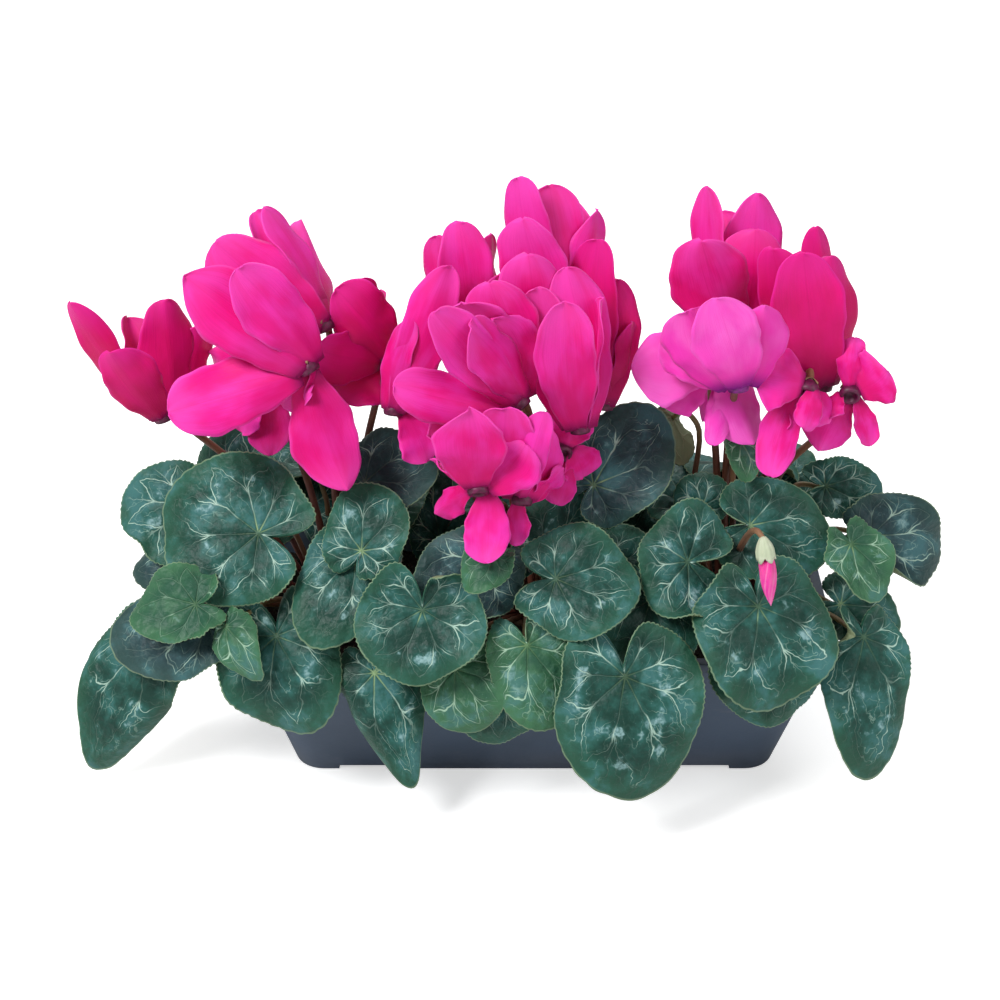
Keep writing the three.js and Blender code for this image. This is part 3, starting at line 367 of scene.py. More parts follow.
def flower_stalk_curve(flower):
    """A flower stalk's way up behind its flower and over into the top of the nose."""
    _, plant, nose_at, sweep, _ = flower
    crown, nose, axis = CROWNS[plant], place(nose_at), unit(np.array(sweep, float))
    end = nose + axis * (NOSE_TOP + GAP)
    behind = np.array([0.0, 1.0, 0.0]) - axis * axis[1]
    behind = unit(behind - UP * 0.2)
    hook = nose + axis * 15 + behind * 6
    elbow = nose + behind * 13 + axis * 2
    away = elbow - crown
    start = crown + [0.12 * away[0], 0.12 * away[1], 4]
    middle = crown + [0.5 * away[0], 0.2 * away[1], 0.6 * away[2]]
    return Curve([start, middle, elbow, hook, end])


def bud_stalk_curve():
    """The bud's stalk, which rises in an arc and hooks over into its calyx."""
    crown = CROWNS[BUD["plant"]]
    hook, calyx = place(BUD["hook"]), place(BUD["calyx"])
    middle = crown * 0.5 + hook * 0.5 + [0, 6, 8]
    return Curve([crown + [0, 0, 3], middle, hook, calyx])


# Mesh making

def faces_inwards(points, faces):
    """Whether a closed form has its faces turned inwards, from the sign of its volume."""
    corners = np.array([(f[0], f[i], f[i + 1]) for f in faces for i in range(1, len(f) - 1)])
    a, b, c = [points[corners[:, k]] - points.mean(axis=0) for k in range(3)]
    return np.sum(a * np.cross(b, c)) < 0


class MeshParts:
    """Collects closed forms, their face materials and values at their vertices, for one piece."""

    def __init__(self):
        self.points, self.faces, self.materials, self.values = [], [], [], {}
        self.count = 0

    def add(self, points, faces, material=0, **values):
        points = np.asarray(points, float).reshape(-1, 3)
        if faces_inwards(points, faces):
            faces = [tuple(reversed(face)) for face in faces]
        self.points.append(points)
        self.faces.extend([tuple(int(i) + self.count for i in face) for face in faces])
        self.materials.extend([material] * len(faces) if np.isscalar(material) else list(material))
        for name, value in values.items():
            self.values.setdefault(name, {})[self.count] = np.broadcast_to(value, len(points))
        self.count += len(points)

    def build(self, name, materials):
        mesh = bpy.data.meshes.new(name)
        mesh.from_pydata(np.concatenate(self.points) * MM, [], self.faces)
        for material in materials:
            mesh.materials.append(material)
        mesh.polygons.foreach_set("material_index", self.materials)
        mesh.polygons.foreach_set("use_smooth", [True] * len(self.faces))
        for label, blocks in self.values.items():
            whole = np.zeros(self.count, np.float32)
            for start, block in blocks.items():
                whole[start:start + len(block)] = block
            mesh.attributes.new(label, "FLOAT", "POINT").data.foreach_set("value", whole)
        mesh.update()
        piece = bpy.data.objects.new(name, mesh)
        bpy.context.scene.collection.objects.link(piece)
        return piece


def settle(piece, slot, *nodes):
    """Rides a piece on the plant's one body and lets it stand for its nodes."""
    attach(piece, "root")
    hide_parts(*nodes)
    return piece


def grid_faces(rows, columns, around=False):
    """The quads of a grid of points, closed round its columns where it goes all the way."""
    faces = []
    for r in range(rows - 1):
        for c in range(columns if around else columns - 1):
            d = (c + 1) % columns
            a = r * columns
            faces.append((a + c, a + d, a + columns + d, a + columns + c))
    return faces


def round_faces(rings, sides):
    """The faces of rings that follow each other, closed at both ends."""
    ends = [tuple(reversed(range(sides))), tuple(range((rings - 1) * sides, rings * sides))]
    return grid_faces(rings, sides, around=True) + ends


def grid_margin(rows, columns):
    """The points of a grid's margin, one after the other."""
    last = (rows - 1) * columns
    right = [r * columns + columns - 1 for r in range(1, rows)]
    left = [r * columns for r in range(rows - 2, 0, -1)]
    return [*range(columns)] + right + [last + c for c in range(columns - 2, -1, -1)] + left


def sheet_faces(rows, columns):
    """The faces of a thin sheet: the grid of its upper side, that of its lower side, and its margin."""
    count = rows * columns
    upper = grid_faces(rows, columns)
    lower = [tuple(reversed([i + count for i in face])) for face in upper]
    ring = grid_margin(rows, columns)
    return upper + lower + [(q, p, p + count, q + count) for p, q in zip(ring, ring[1:] + ring[:1])]


def grid_normals(points):
    """Unit normals of a grid of points, rows by columns."""
    down = np.gradient(points, axis=0)
    across = np.gradient(points, axis=1)
    normals = np.cross(across, down)
    return normals / np.maximum(np.linalg.norm(normals, axis=2, keepdims=True), 1e-9)


def circle(sides):
    """The angles of so many points that are spread evenly over a whole turn."""
    return 2 * math.pi * np.arange(sides) / sides


def ring(centre, first, second, radius, angles):
    """Points round a centre in the plane of two directions."""
    around = np.outer(np.cos(angles), first) + np.outer(np.sin(angles), second)
    return centre + np.reshape(radius, (-1, 1)) * around


def tube(parts, curve, radius, rings, sides, material, ends):
    """A round stalk along a curve, with its height share kept at each ring."""
    normal = np.cross(UP, curve.tangent(0))
    normal = unit(normal) if np.linalg.norm(normal) > 0.1 else RIGHT
    shares = np.linspace(0, 1, rings)
    points = []
    for t in shares:
        tangent = curve.tangent(t)
        normal = unit(normal - tangent * np.dot(normal, tangent))
        size = radius * (ends[0] + (ends[1] - ends[0]) * t)
        points.append(ring(curve.at(t), normal, np.cross(tangent, normal), size, circle(sides)))
    parts.add(points, round_faces(rings, sides), material, height_share=np.repeat(shares, sides))


def across_axis(axis):
    """Two directions square to an axis and to each other."""
    first = unit(np.cross(axis, RIGHT) if abs(axis[0]) < 0.9 else np.cross(axis, UP))
    return first, np.cross(axis, first)


def along_line(start, end):
    """A line's length and direction, and two directions square to it."""
    length = np.linalg.norm(end - start)
    axis = (end - start) / length
    first = unit(np.cross(axis, UP))
    return length, axis, first, np.cross(axis, first)


# The radius at which a turned form is closed with one small face.
POLE = 0.01


def lathe(parts, centre, axis, profile, sides, material, **values):
    """A turned form about an axis, its profile given as (radius, distance) from end to end."""
    first, second = across_axis(axis)
    points = [ring(centre + axis * along, first, second, radius, circle(sides)) for radius, along in profile]
    parts.add(points, round_faces(len(profile), sides), material, **values)


# Leaves

# The lobes reach back by a share of the width. The notch at the stalk and the pointed tip each have a
# half angle and a depth or height as a share of the oval.
LOBE_SHARE = 0.4
NOTCH_HALF, NOTCH_DEPTH = 0.3, 0.82
POINT_HALF, POINT_HEIGHT = 0.3, 0.05


def margin(angle, length, width):
    """How far a leaf's margin lies from its heart, at an angle from its tip."""
    back = LOBE_SHARE * width
    middle, along, across = (length - back) / 2, (length + back) / 2, width / 2
    c, s = np.cos(angle), np.sin(angle)
    # The oval's reach from the heart, which is off its middle.
    square = (c / along) ** 2 + (s / across) ** 2
    root = np.sqrt(square - ((middle * s) / (along * across)) ** 2)
    oval = ((middle * c) / along ** 2 + root) / square
    from_notch = (math.pi - np.abs(angle)) / NOTCH_HALF
    notch = NOTCH_DEPTH * np.exp(-from_notch ** 2)
    return oval * (1 - notch) * (1 + POINT_HEIGHT * np.exp(-(angle / POINT_HALF) ** 2))


# Rings of a blade from its heart to its margin, as shares of the way.
RINGS = np.array([0.03, 0.14, 0.28, 0.43, 0.58, 0.72, 0.84, 0.93, 0.975, 1.0])
WAVE_GAIN = 1.35
MAIN_VEINS = 9
BLADE_HALF = 0.32
VEIN_HALF_WIDTH = 1.8
HEART_DIMPLE = 0.2
TEETH_FROM = 0.95

# Margins that curl up and over: the angle of the curl's middle, half its width, the share of the
# blade where it begins, and how far it turns, all but the share in degrees.
CURLS = {
    "leaf_right_low": (-112, 46, 0.35, 165), "leaf_mid_curled": (150, 30, 0.6, 150),
    "leaf_right_far": (-62, 46, 0.4, 150), "leaf_left_folded": (-120, 34, 0.5, 140),
    "leaf_right_twin": (100, 34, 0.75, 110), "leaf_mid_slate": (40, 40, 0.7, 100),
    "leaf_left_low": (30, 40, 0.75, -80), "leaf_mid_draped": (-60, 50, 0.6, -90),
    "leaf_left_front": (-70, 40, 0.78, 80), "leaf_mid_round": (-160, 24, 0.7, 110),
    "leaf_mid_front": (-100, 34, 0.8, 80), "leaf_right_round": (-60, 40, 0.75, 90),
    "leaf_left_heart": (150, 30, 0.7, 90), "leaf_left_bright": (80, 34, 0.72, 90),
    "leaf_left_edge": (20, 34, 0.75, 100),
}


def curl_over(leaf, angle, share, edge):
    """How a curled margin changes a blade: the new distance from its heart and the added height."""
    middle, half, begins, turn = [math.radians(v) if i != 2 else v for i, v in enumerate(CURLS[leaf.node])]
    away = np.abs((angle - middle + math.pi) % (2 * math.pi) - math.pi) / half
    weight = np.where(away < 1, 0.5 + 0.5 * np.cos(math.pi * np.minimum(away, 1)), 0)
    bend = np.where(np.abs(turn * weight) < 1e-3, 1e-3, turn * weight)
    strip = (1 - begins) * edge
    done = np.maximum(share - begins, 0) / (1 - begins)
    inner = np.minimum(share, begins) * edge
    return inner + strip / bend * np.sin(bend * done), strip / bend * (1 - np.cos(bend * done))


def blade_margin(leaf, angle, tooth_pitch, tooth_depth):
    """How far a leaf's own margin lies from its heart, and how far its teeth stand out from that."""
    # Each margin is a little lopsided and lobed in its own way.
    lean = 0.12 * (draw(leaf.number + 200) - 0.5)
    lobed = 0.03 * np.sin(3 * angle + leaf.phase) + 0.024 * np.sin(5 * angle + 2 * leaf.phase)
    edge = margin(angle, leaf.length, leaf.width) * (1 + lean * np.sin(angle) + lobed)
    rim = np.stack([edge * np.cos(angle), edge * np.sin(angle)], axis=1)
    run = np.concatenate([[0], np.cumsum(np.linalg.norm(np.diff(rim, axis=0), axis=1))])
    teeth = round(run[-1] / tooth_pitch)
    return edge, tooth_depth * (np.abs(np.sin(math.pi * teeth * run / run[-1])) - 0.5)


def blade_height(leaf, angle, share, reach, curled, vein_depth):
    """How high the points of a blade lie above its plane."""
    u = reach * np.cos(angle) / leaf.length
    rise = np.where(u > 0, 4 * u * (1 - u), 4 * u / (1 - 3 * np.minimum(u, 0)))
    size = leaf.width / 60
    height = leaf.cup * share ** 2 + leaf.arch * rise + curled
    # Waves of three lengths, and a margin that turns down.
    height = height + WAVE_GAIN * leaf.wave * share ** 3 * np.sin(4 * angle + leaf.phase)
    height = height + size * share ** 3 * np.sin(7 * angle + 2 * leaf.phase)
    height = height + 0.5 * share ** 5 * np.sin(13 * angle + 3 * leaf.phase) - 0.8 * share ** 14
    # The lobes beside the stalk, raised or lowered.
    lobe_lift = 3.2 * size * (draw(leaf.number + 300) - 0.35)
    height = height + lobe_lift * share ** 2 * np.exp(-((math.pi - np.abs(angle)) / 0.7) ** 2)
    # Sunk main veins, and pillows between them.
    veins = MAIN_VEINS * angle / (2 * math.pi) + 0.5
    off_vein = np.abs(veins - np.round(veins)) * 2 * math.pi / MAIN_VEINS * reach
    height = height - vein_depth * np.exp(-(off_vein / VEIN_HALF_WIDTH) ** 2) * (1 - 0.5 * share)
    return height + 0.55 * size * np.sin(math.pi * np.minimum(off_vein / 9, 1)) * share * (1 - share ** 4)


def blade_faces(rows, columns):
    """A blade's faces and their materials: the first on top and round the margin, the second below."""
    count = rows * columns
    upper = grid_faces(rows, columns, around=True)
    lower = [tuple(reversed([i + count for i in face])) for face in upper]
    rim, hub = [], []
    last = (rows - 1) * columns
    for c in range(columns):
        d = (c + 1) % columns
        rim.append((last + c, last + d, count + last + d, count + last + c))
        hub.append((c, 2 * count, d))
        hub.append((count + d, 2 * count + 1, count + c))
    materials = [0] * len(upper) + [1] * len(lower) + [0] * len(rim) + [0, 1] * columns
    return upper + lower + rim + hub, materials


def blade(parts, leaf, columns, tooth_pitch, tooth_depth, vein_depth):
    """A toothed, veined and waved heart-shaped blade with a thickness, added to a piece."""
    # Columns lie closer together at the notch than at the tip.
    s = np.linspace(-1, 1, columns, endpoint=False)
    angle = math.pi * s + 0.5 * np.sin(math.pi * s)
    edge, tooth = blade_margin(leaf, angle, tooth_pitch, tooth_depth)
    share = RINGS[:, None]
    toothed = edge + np.where(share > TEETH_FROM, tooth * (share - TEETH_FROM) / (1 - TEETH_FROM), 0)
    reach, curled = share * toothed, 0
    flat_x, flat_y = reach * np.cos(angle), reach * np.sin(angle)
    if leaf.node in CURLS:
        reach, curled = curl_over(leaf, angle, share, toothed)
    x, y = reach * np.cos(angle), reach * np.sin(angle)
    drawn_out = np.clip((x / leaf.length - 0.1) / 0.9, 0, 1)
    y = y * (1 - leaf.taper * drawn_out ** 2 * (3 - 2 * drawn_out))
    height = blade_height(leaf, angle, share, reach, curled, vein_depth)
    top = (leaf.heart + x[..., None] * leaf.along + y[..., None] * leaf.side
           + height[..., None] * leaf.face)
    normals = grid_normals(np.concatenate([top, top[:, :1]], axis=1))[:, :-1]
    if np.sum(normals @ leaf.face) < 0:
        normals = -normals
    heart_top = leaf.heart + leaf.face * (BLADE_HALF - HEART_DIMPLE)
    heart_low = leaf.heart - leaf.face * BLADE_HALF
    points = np.concatenate([(top + normals * BLADE_HALF).reshape(-1, 3),
                             (top - normals * BLADE_HALF).reshape(-1, 3), [heart_top, heart_low]])
    # Each point keeps its place in the flat leaf, for the markings.
    both = [np.tile(v.reshape(-1), 2) for v in (flat_x, flat_y, np.broadcast_to(share, x.shape))]
    plane_x, plane_y, shares = [np.append(v, [0, 0]) for v in both]
    faces, materials = blade_faces(len(RINGS), columns)
    parts.add(points, faces, materials, plane_x=plane_x, plane_y=plane_y, margin_share=shares,
              leaf_seed=leaf.number * 7.3)


# Flowers

# A petal's width at the nose and its slenderness as shares of its width, half its thickness, and the
# share of its length where it is widest.
CLAW_SHARE = 0.36
PETAL_SLENDER = 0.93
PETAL_HALF = 0.28
PETAL_WIDEST = 0.62
SEPAL_HALF = 0.25


def petal_width(t, point):
    """A petal's share of its full width along its length: a wedge, then a round or pointed tip."""
    wedge = CLAW_SHARE + (1 - CLAW_SHARE) * math.sin(math.pi / 2 * min(t / PETAL_WIDEST, 1)) ** 1.3
    if t <= PETAL_WIDEST:
        return wedge
    return wedge * max(1 - ((t - PETAL_WIDEST) / 0.4) ** 2.2, 0) ** (0.42 + 0.5 * point ** 3)


def petal_roots(nose, axis, petals):
    """The roots of a flower's petals: evenly round its nose, in the order in which they point."""
    first = unit(RIGHT - axis * axis[0])
    second = np.cross(axis, first)
    bearings = []
    for petal in petals:
        out = place(petal[0]) - nose
        bearings.append(math.atan2(np.dot(out, second), np.dot(out, first)))
    order = sorted(range(len(petals)), key=lambda i: bearings[i])
    step = 2 * math.pi / len(petals)
    rank = [order.index(i) for i in range(len(petals))]
    x = sum(math.cos(a - k * step) for a, k in zip(bearings, rank))
    y = sum(math.sin(a - k * step) for a, k in zip(bearings, rank))
    start = math.atan2(y, x)
    roots = []
    for k in rank:
        angle = start + k * step
        out = first * math.cos(angle) + second * math.sin(angle)
        roots.append(nose + out * 0.85 * NOSE_RADIUS)
    return roots


def petal(parts, nose, root, row, number, ruffle):
    """One petal from the nose to its tip, with a ruffled margin, added to a flower."""
    tip_at, width, facing, belly, twist = row
    tip = place(tip_at)
    out = unit(root - nose)
    knee = root + (tip - root) * 0.42 + out * belly
    face = out * (1 - facing) + TO_VIEWER * facing
    rows, columns = 32, 17
    # Rows lie closer together towards the tip, and the last is where the tip closes.
    t = 1.019 * (1 - (1 - np.linspace(0, 1, rows)) ** 1.3)
    v = np.linspace(-1, 1, columns)
    grid = np.zeros((rows, columns, 3))
    phase, point = 2 * math.pi * draw(number), draw(number + 70)
    # Each petal's own lopsidedness, cup, keel, sideways bend, curled tip and size.
    uneven = 0.36 * (draw(number + 50) - 0.5)
    cup = 0.12 - 0.4 * draw(number + 10)
    keel = 0.45 * draw(number + 20) ** 2
    bend = 0.16 * width * (draw(number + 30) - 0.5)
    curl = 5 * (draw(number + 90) - 0.6)
    size = width / 32
    for r, at in enumerate(t):
        centre = (1 - at) ** 2 * root + 2 * at * (1 - at) * knee + at ** 2 * tip
        way = unit(2 * (1 - at) * (knee - root) + 2 * at * (tip - knee))
        side = turned(unit(np.cross(way, face)), way, twist * at)
        normal = unit(np.cross(side, way))
        half = PETAL_SLENDER * width / 2 * petal_width(at, point)
        notch = 0.05 * np.sin(11 * at + phase + 2 * v) + 0.025 * np.sin(29 * at + 2 * phase - 3 * v)
        reach = v * half * (1 + uneven * np.sign(v) * at) * (1 + np.abs(v) * notch) + bend * at ** 2
        edge = np.abs(v) ** 2.5 * min(1, 2.2 * at)
        lift = cup * half * v ** 2 - keel * half * (np.sqrt(v ** 2 + 0.01) - 0.1)
        lift = lift + 0.3 * size * np.exp(-(v / 0.2) ** 2) * (1 - 0.7 * at)
        lift = lift + ruffle * edge * np.sin(2 * math.pi * 2.3 * at + phase + 0.9 * np.sign(v))
        lift = lift + 0.9 * ruffle * size * min(1, 2 * at) * np.sin(2.6 * v + phase + 2.5 * at)
        lift = lift + size * curl * max(0, at - 0.55) ** 2 / 0.2
        grid[r] = centre + side * reach[:, None] + normal * lift[:, None]
    normals = grid_normals(grid)
    sheet = [grid + normals * PETAL_HALF, grid - normals * PETAL_HALF]
    parts.add(sheet, sheet_faces(rows, columns), 0, petal_along=np.tile(np.repeat(t, columns), 2),
              petal_across=np.tile(v, 2 * rows), petal_seed=number * 3.7)


def flower_nose(parts, nose, axis):
    """The tube that the petals fold back from: closed at the calyx, dark and open at its mouth."""
    r = NOSE_RADIUS
    profile = [(POLE, NOSE_TOP), (2.6, 5.0), (4.4, 3.4), (r, 1.0), (r * 0.98, -1.0), (r * 0.9, -2.4),
               (r * 0.72, -2.7), (r * 0.6, -1.6), (r * 0.5, 0.5), (POLE, 1.2)]
    lathe(parts, nose, axis, profile, 20, 1, petal_along=0.0, petal_across=0.0, petal_seed=0.0)


def calyx(parts, nose, axis, number):
    """Five short pointed sepals that hold a flower's nose round its stalk."""
    first, second = across_axis(axis)
    for k in range(5):
        a = 2 * math.pi * (k + draw(number)) / 5
        out = math.cos(a) * first + math.sin(a) * second
        side = np.cross(axis, out)
        # Distance from the axis, place along it, and half the sepal's width there.
        points, rows = [], [(1.5, 6.2, 1.1), (3.2, 5.4, 1.5), (4.7, 3.9, 1.1), (5.4, 2.4, 0.2)]
        for lift in (SEPAL_HALF, -SEPAL_HALF):
            for reach, along, half in rows:
                for v in (-1, 0, 1):
                    radial = reach + lift - 0.12 * half * v * v
                    points.append(nose + out * radial + axis * along + side * v * half)
        parts.add(points, sheet_faces(len(rows), 3), 1, height_share=1.0)


# Materials

def fill(made, inputs):
    """Links or sets a node's inputs."""
    for key, value in inputs.items():
        if isinstance(value, Value):
            made.id_data.links.new(value.socket, made.inputs[key])
        else:
            made.inputs[key].default_value = value
    return made


def node(tree, kind, inputs=None, **settings_of_node):
    """Adds a node, sets its settings, and links or sets its inputs."""
    made = tree.nodes.new(kind)
    for key, value in settings_of_node.items():
        setattr(made, key, value)
    return fill(made, inputs or {})


def tree_of(*values):
    """The node tree of the first shader value among values and plain numbers."""
    return next(v for v in values if isinstance(v, Value)).socket.id_data


def maths(operation, *values):
    made = node(tree_of(*values), "ShaderNodeMath", dict(enumerate(values)), operation=operation)
    return Value(made.outputs[0])


class Value:
    """The output of a shader node. Plain arithmetic on it adds a math node for each step."""

    def __init__(self, socket):
        self.socket = socket

    def __add__(self, other):
        return maths("ADD", self, other)

    def __sub__(self, other):
        return maths("SUBTRACT", self, other)

    def __rsub__(self, other):
        return maths("SUBTRACT", other, self)

    def __mul__(self, other):
        return maths("MULTIPLY", self, other)

    def __truediv__(self, other):
        return maths("DIVIDE", self, other)


def shader(name):
    """A new material with a Principled shader: the material, its node tree and the shader."""
    material = bpy.data.materials.new(name)
    material.use_nodes = True
    tree = material.node_tree
    return material, tree, tree.nodes["Principled BSDF"]


def smooth(value, low, high, to_low=0.0, to_high=1.0):
    """A soft step of a value between two limits."""
    made = node(tree_of(value), "ShaderNodeMapRange", {"Value": value, "From Min": low, "From Max": high,
                                                       "To Min": to_low, "To Max": to_high},
                interpolation_type="SMOOTHSTEP")
    return Value(made.outputs["Result"])


def blend(factor, a, b):
    """A mix of two colours."""
    a, b = [c if isinstance(c, Value) else (*c[:3], 1) for c in (a, b)]
    made = node(tree_of(factor), "ShaderNodeMix", data_type="RGBA", blend_type="MIX")
    return Value(fill(made, {0: factor, 6: a, 7: b}).outputs[2])


def attribute(tree, name):
    return Value(node(tree, "ShaderNodeAttribute", attribute_name=name).outputs["Fac"])


def object_place(tree):
    return Value(node(tree, "ShaderNodeTexCoord").outputs["Object"])


def noise(spot, scale, detail=3.0, roughness=0.5):
    made = node(tree_of(spot), "ShaderNodeTexNoise", {"Vector": spot, "Scale": scale, "Detail": detail,
                                                      "Roughness": roughness})
    return Value(made.outputs["Fac"])


def vector(x, y, z):
    return Value(node(tree_of(x, y, z), "ShaderNodeCombineXYZ", {0: x, 1: y, 2: z}).outputs[0])


def bump(height, strength, distance):
    inputs = {"Height": height, "Strength": strength, "Distance": distance}
    return Value(node(tree_of(height), "ShaderNodeBump", inputs).outputs["Normal"])


MARKING_INPUTS = {"X": "plane_x", "Y": "plane_y", "Share": "margin_share", "Seed": "leaf_seed"}
MARKING_OUTPUTS = ["Veins", "Silver", "Mottle", "Relief"]
RUNG_PITCH = 0.22


def leaf_markings_group():
    """Vein lines, silver streaks and the quilted relief, from a place in the leaf's own plane."""
    group = bpy.data.node_groups.new("Leaf markings", "ShaderNodeTree")
    for label in MARKING_INPUTS:
        group.interface.new_socket(name=label, in_out="INPUT", socket_type="NodeSocketFloat")
    for label in MARKING_OUTPUTS:
        group.interface.new_socket(name=label, in_out="OUTPUT", socket_type="NodeSocketFloat")
    enter, leave = group.nodes.new("NodeGroupInput"), group.nodes.new("NodeGroupOutput")
    x, y, share, seed = [Value(enter.outputs[label]) for label in MARKING_INPUTS]
    spot = vector(x, y, seed)
    wander = noise(spot, 0.07, 2.0) - 0.5
    fine_wander = noise(spot, 0.25, 2.0) - 0.5
    reach = maths("SQRT", x * x + y * y)
    arc = reach * (2 * math.pi / MAIN_VEINS)
    turn = maths("ARCTAN2", y, x) * (MAIN_VEINS / (2 * math.pi))
    turn = turn + wander * (share * 0.9) + fine_wander * (share * 0.13)
    from_vein = 0.5 - maths("PINGPONG", turn, 0.5)

    # Main veins that fork half way out.
    width = smooth(share, 0.0, 1.0, 0.6, 0.28)
    trunk = 1.0 - smooth(from_vein * arc / width, 0.4, 1.2)
    trunk = trunk * smooth(share, 0.5, 0.66, 1.0, 0.4)
    forked = maths("ABSOLUTE", from_vein - smooth(share, 0.42, 1.0, 0.0, 0.56))
    fork = 1.0 - smooth(forked * arc / width, 0.4, 1.2)
    main = maths("MAXIMUM", trunk, fork * smooth(share, 0.45, 0.52))

    # Side veins as chevrons between the main ones, and a net of the smallest.
    chevron = share - from_vein * 0.7 + fine_wander * 0.2
    rung = maths("PINGPONG", chevron * (1 / RUNG_PITCH), 0.5) * RUNG_PITCH
    side = (1.0 - smooth(rung, 0.002, 0.009)) * smooth(share, 0.15, 0.3, 0.0, 0.4)
    swayed = vector(x + fine_wander * 3.0, y + noise(spot, 0.21, 2.0) * 3.0, seed)
    cells = Value(node(group, "ShaderNodeTexVoronoi", {"Vector": swayed, "Scale": 0.15, "Randomness": 1.0},
                       feature="DISTANCE_TO_EDGE").outputs["Distance"])
    net = (1.0 - smooth(cells, 0.012, 0.05)) * smooth(noise(spot, 0.13, 2.0), 0.54, 0.62, 0.0, 0.2)
    lines = maths("MAXIMUM", main, maths("MAXIMUM", side, net)) * (1.0 - smooth(share, 0.84, 0.95))

    # Silver in a ring half way out: veins in patches, smudges and specks.
    own = (maths("FRACT", seed * 0.137) - 0.5) * 0.1
    ring = smooth(share, 0.2, 0.45) * (1.0 - smooth(share, 0.66, 0.88))
    patch = noise(spot, 0.05, 2.0) + ring * 0.08 + own
    veins = lines * smooth(patch, 0.45, 0.57, 0.16, 1.0)
    smudge = smooth(noise(spot, 0.1, 3.0, 0.6) + ring * 0.1 + own, 0.64, 0.74)
    silver = smudge * ring * smooth(noise(spot, 0.45, 4.0, 0.7), 0.4, 0.6, 0.35, 1.0)
    speck = smooth(noise(spot, 0.8, 2.0), 0.72, 0.76) * 0.5
    silver = maths("MAXIMUM", silver, speck * ring)

    mottle = noise(spot, 0.05, 4.0, 0.6)
    relief = smooth(cells, 0.0, 0.5, 0.3, 1.0) - main * 0.6 + noise(spot, 0.32, 2.0) * 0.9
    fill(leave, dict(zip(MARKING_OUTPUTS, (veins, silver, mottle, relief))))
    return group


def leaf_markings(tree, group):
    places = {label: attribute(tree, name) for label, name in MARKING_INPUTS.items()}
    made = node(tree, "ShaderNodeGroup", node_tree=group)
    fill(made, places)
    return [Value(made.outputs[label]) for label in MARKING_OUTPUTS]


# The blue of a painted reflection of the sky, laid over the leaves in patches as a sheen.
PAINTED_SKY_SHEEN = (0.055, 0.17, 0.185)
HEART_LIME = (0.3, 0.42, 0.1)
RIM_GREEN = (0.24, 0.34, 0.2)


def leaf_top_material(name, group, base, deep, vein, silver_colour, silver_strength, edge):
    """Satin leaf: mottled green, with painted shade in the hollows of its relief and patches of a painted
    blue sky sheen, silver marks, lime at its heart and a pale rim.
    """
    material, tree, out = shader(name)
    veins, silver, mottle, relief = leaf_markings(tree, group)
    share = attribute(tree, "margin_share")
    colour = blend(smooth(mottle, 0.38, 0.62), deep, base)
    # Darker where the relief sinks, between its cells and along its veins: painted shade in the hollows.
    colour = blend(smooth(relief, 0.1, 1.1, 0.3, 0.0), colour, deep)
    colour = blend(smooth(share, 0.6, 1.0, 0.0, 0.45), colour, edge)
    # Blue patches over the mottle: a painted reflection of the sky.
    colour = blend(smooth(mottle, 0.5, 0.68, 0.0, 0.55), colour, PAINTED_SKY_SHEEN)
    colour = blend(silver * silver_strength, colour, silver_colour)
    colour = blend(smooth(share, 0.02, 0.35, 0.55, 0.0) * veins, colour, HEART_LIME)
    colour = blend(veins * smooth(share, 0.15, 0.5, 0.14, 0.85), colour, vein)
    colour = blend(smooth(share, 0.978, 0.992) * 0.6, colour, RIM_GREEN)
    grain = noise(object_place(tree), 900.0)
    fill(out, {"Base Color": colour, "Roughness": smooth(mottle, 0.3, 0.7, 0.46, 0.58),
               "Normal": bump(grain * 0.25 + relief, 0.7, 0.0009), "Specular IOR Level": 0.26})
    return material


def leaf_underside_material(name, group, base, vein):
    material, tree, out = shader(name)
    veins, _, mottle, relief = leaf_markings(tree, group)
    colour = blend(smooth(mottle, 0.3, 0.7, 0.0, 0.35), base, (0.12, 0.15, 0.08))
    colour = blend(veins * 0.5, colour, vein)
    fill(out, {"Base Color": colour, "Normal": bump(1.0 - relief, 0.6, 0.0008), "Roughness": 0.6})
    return material


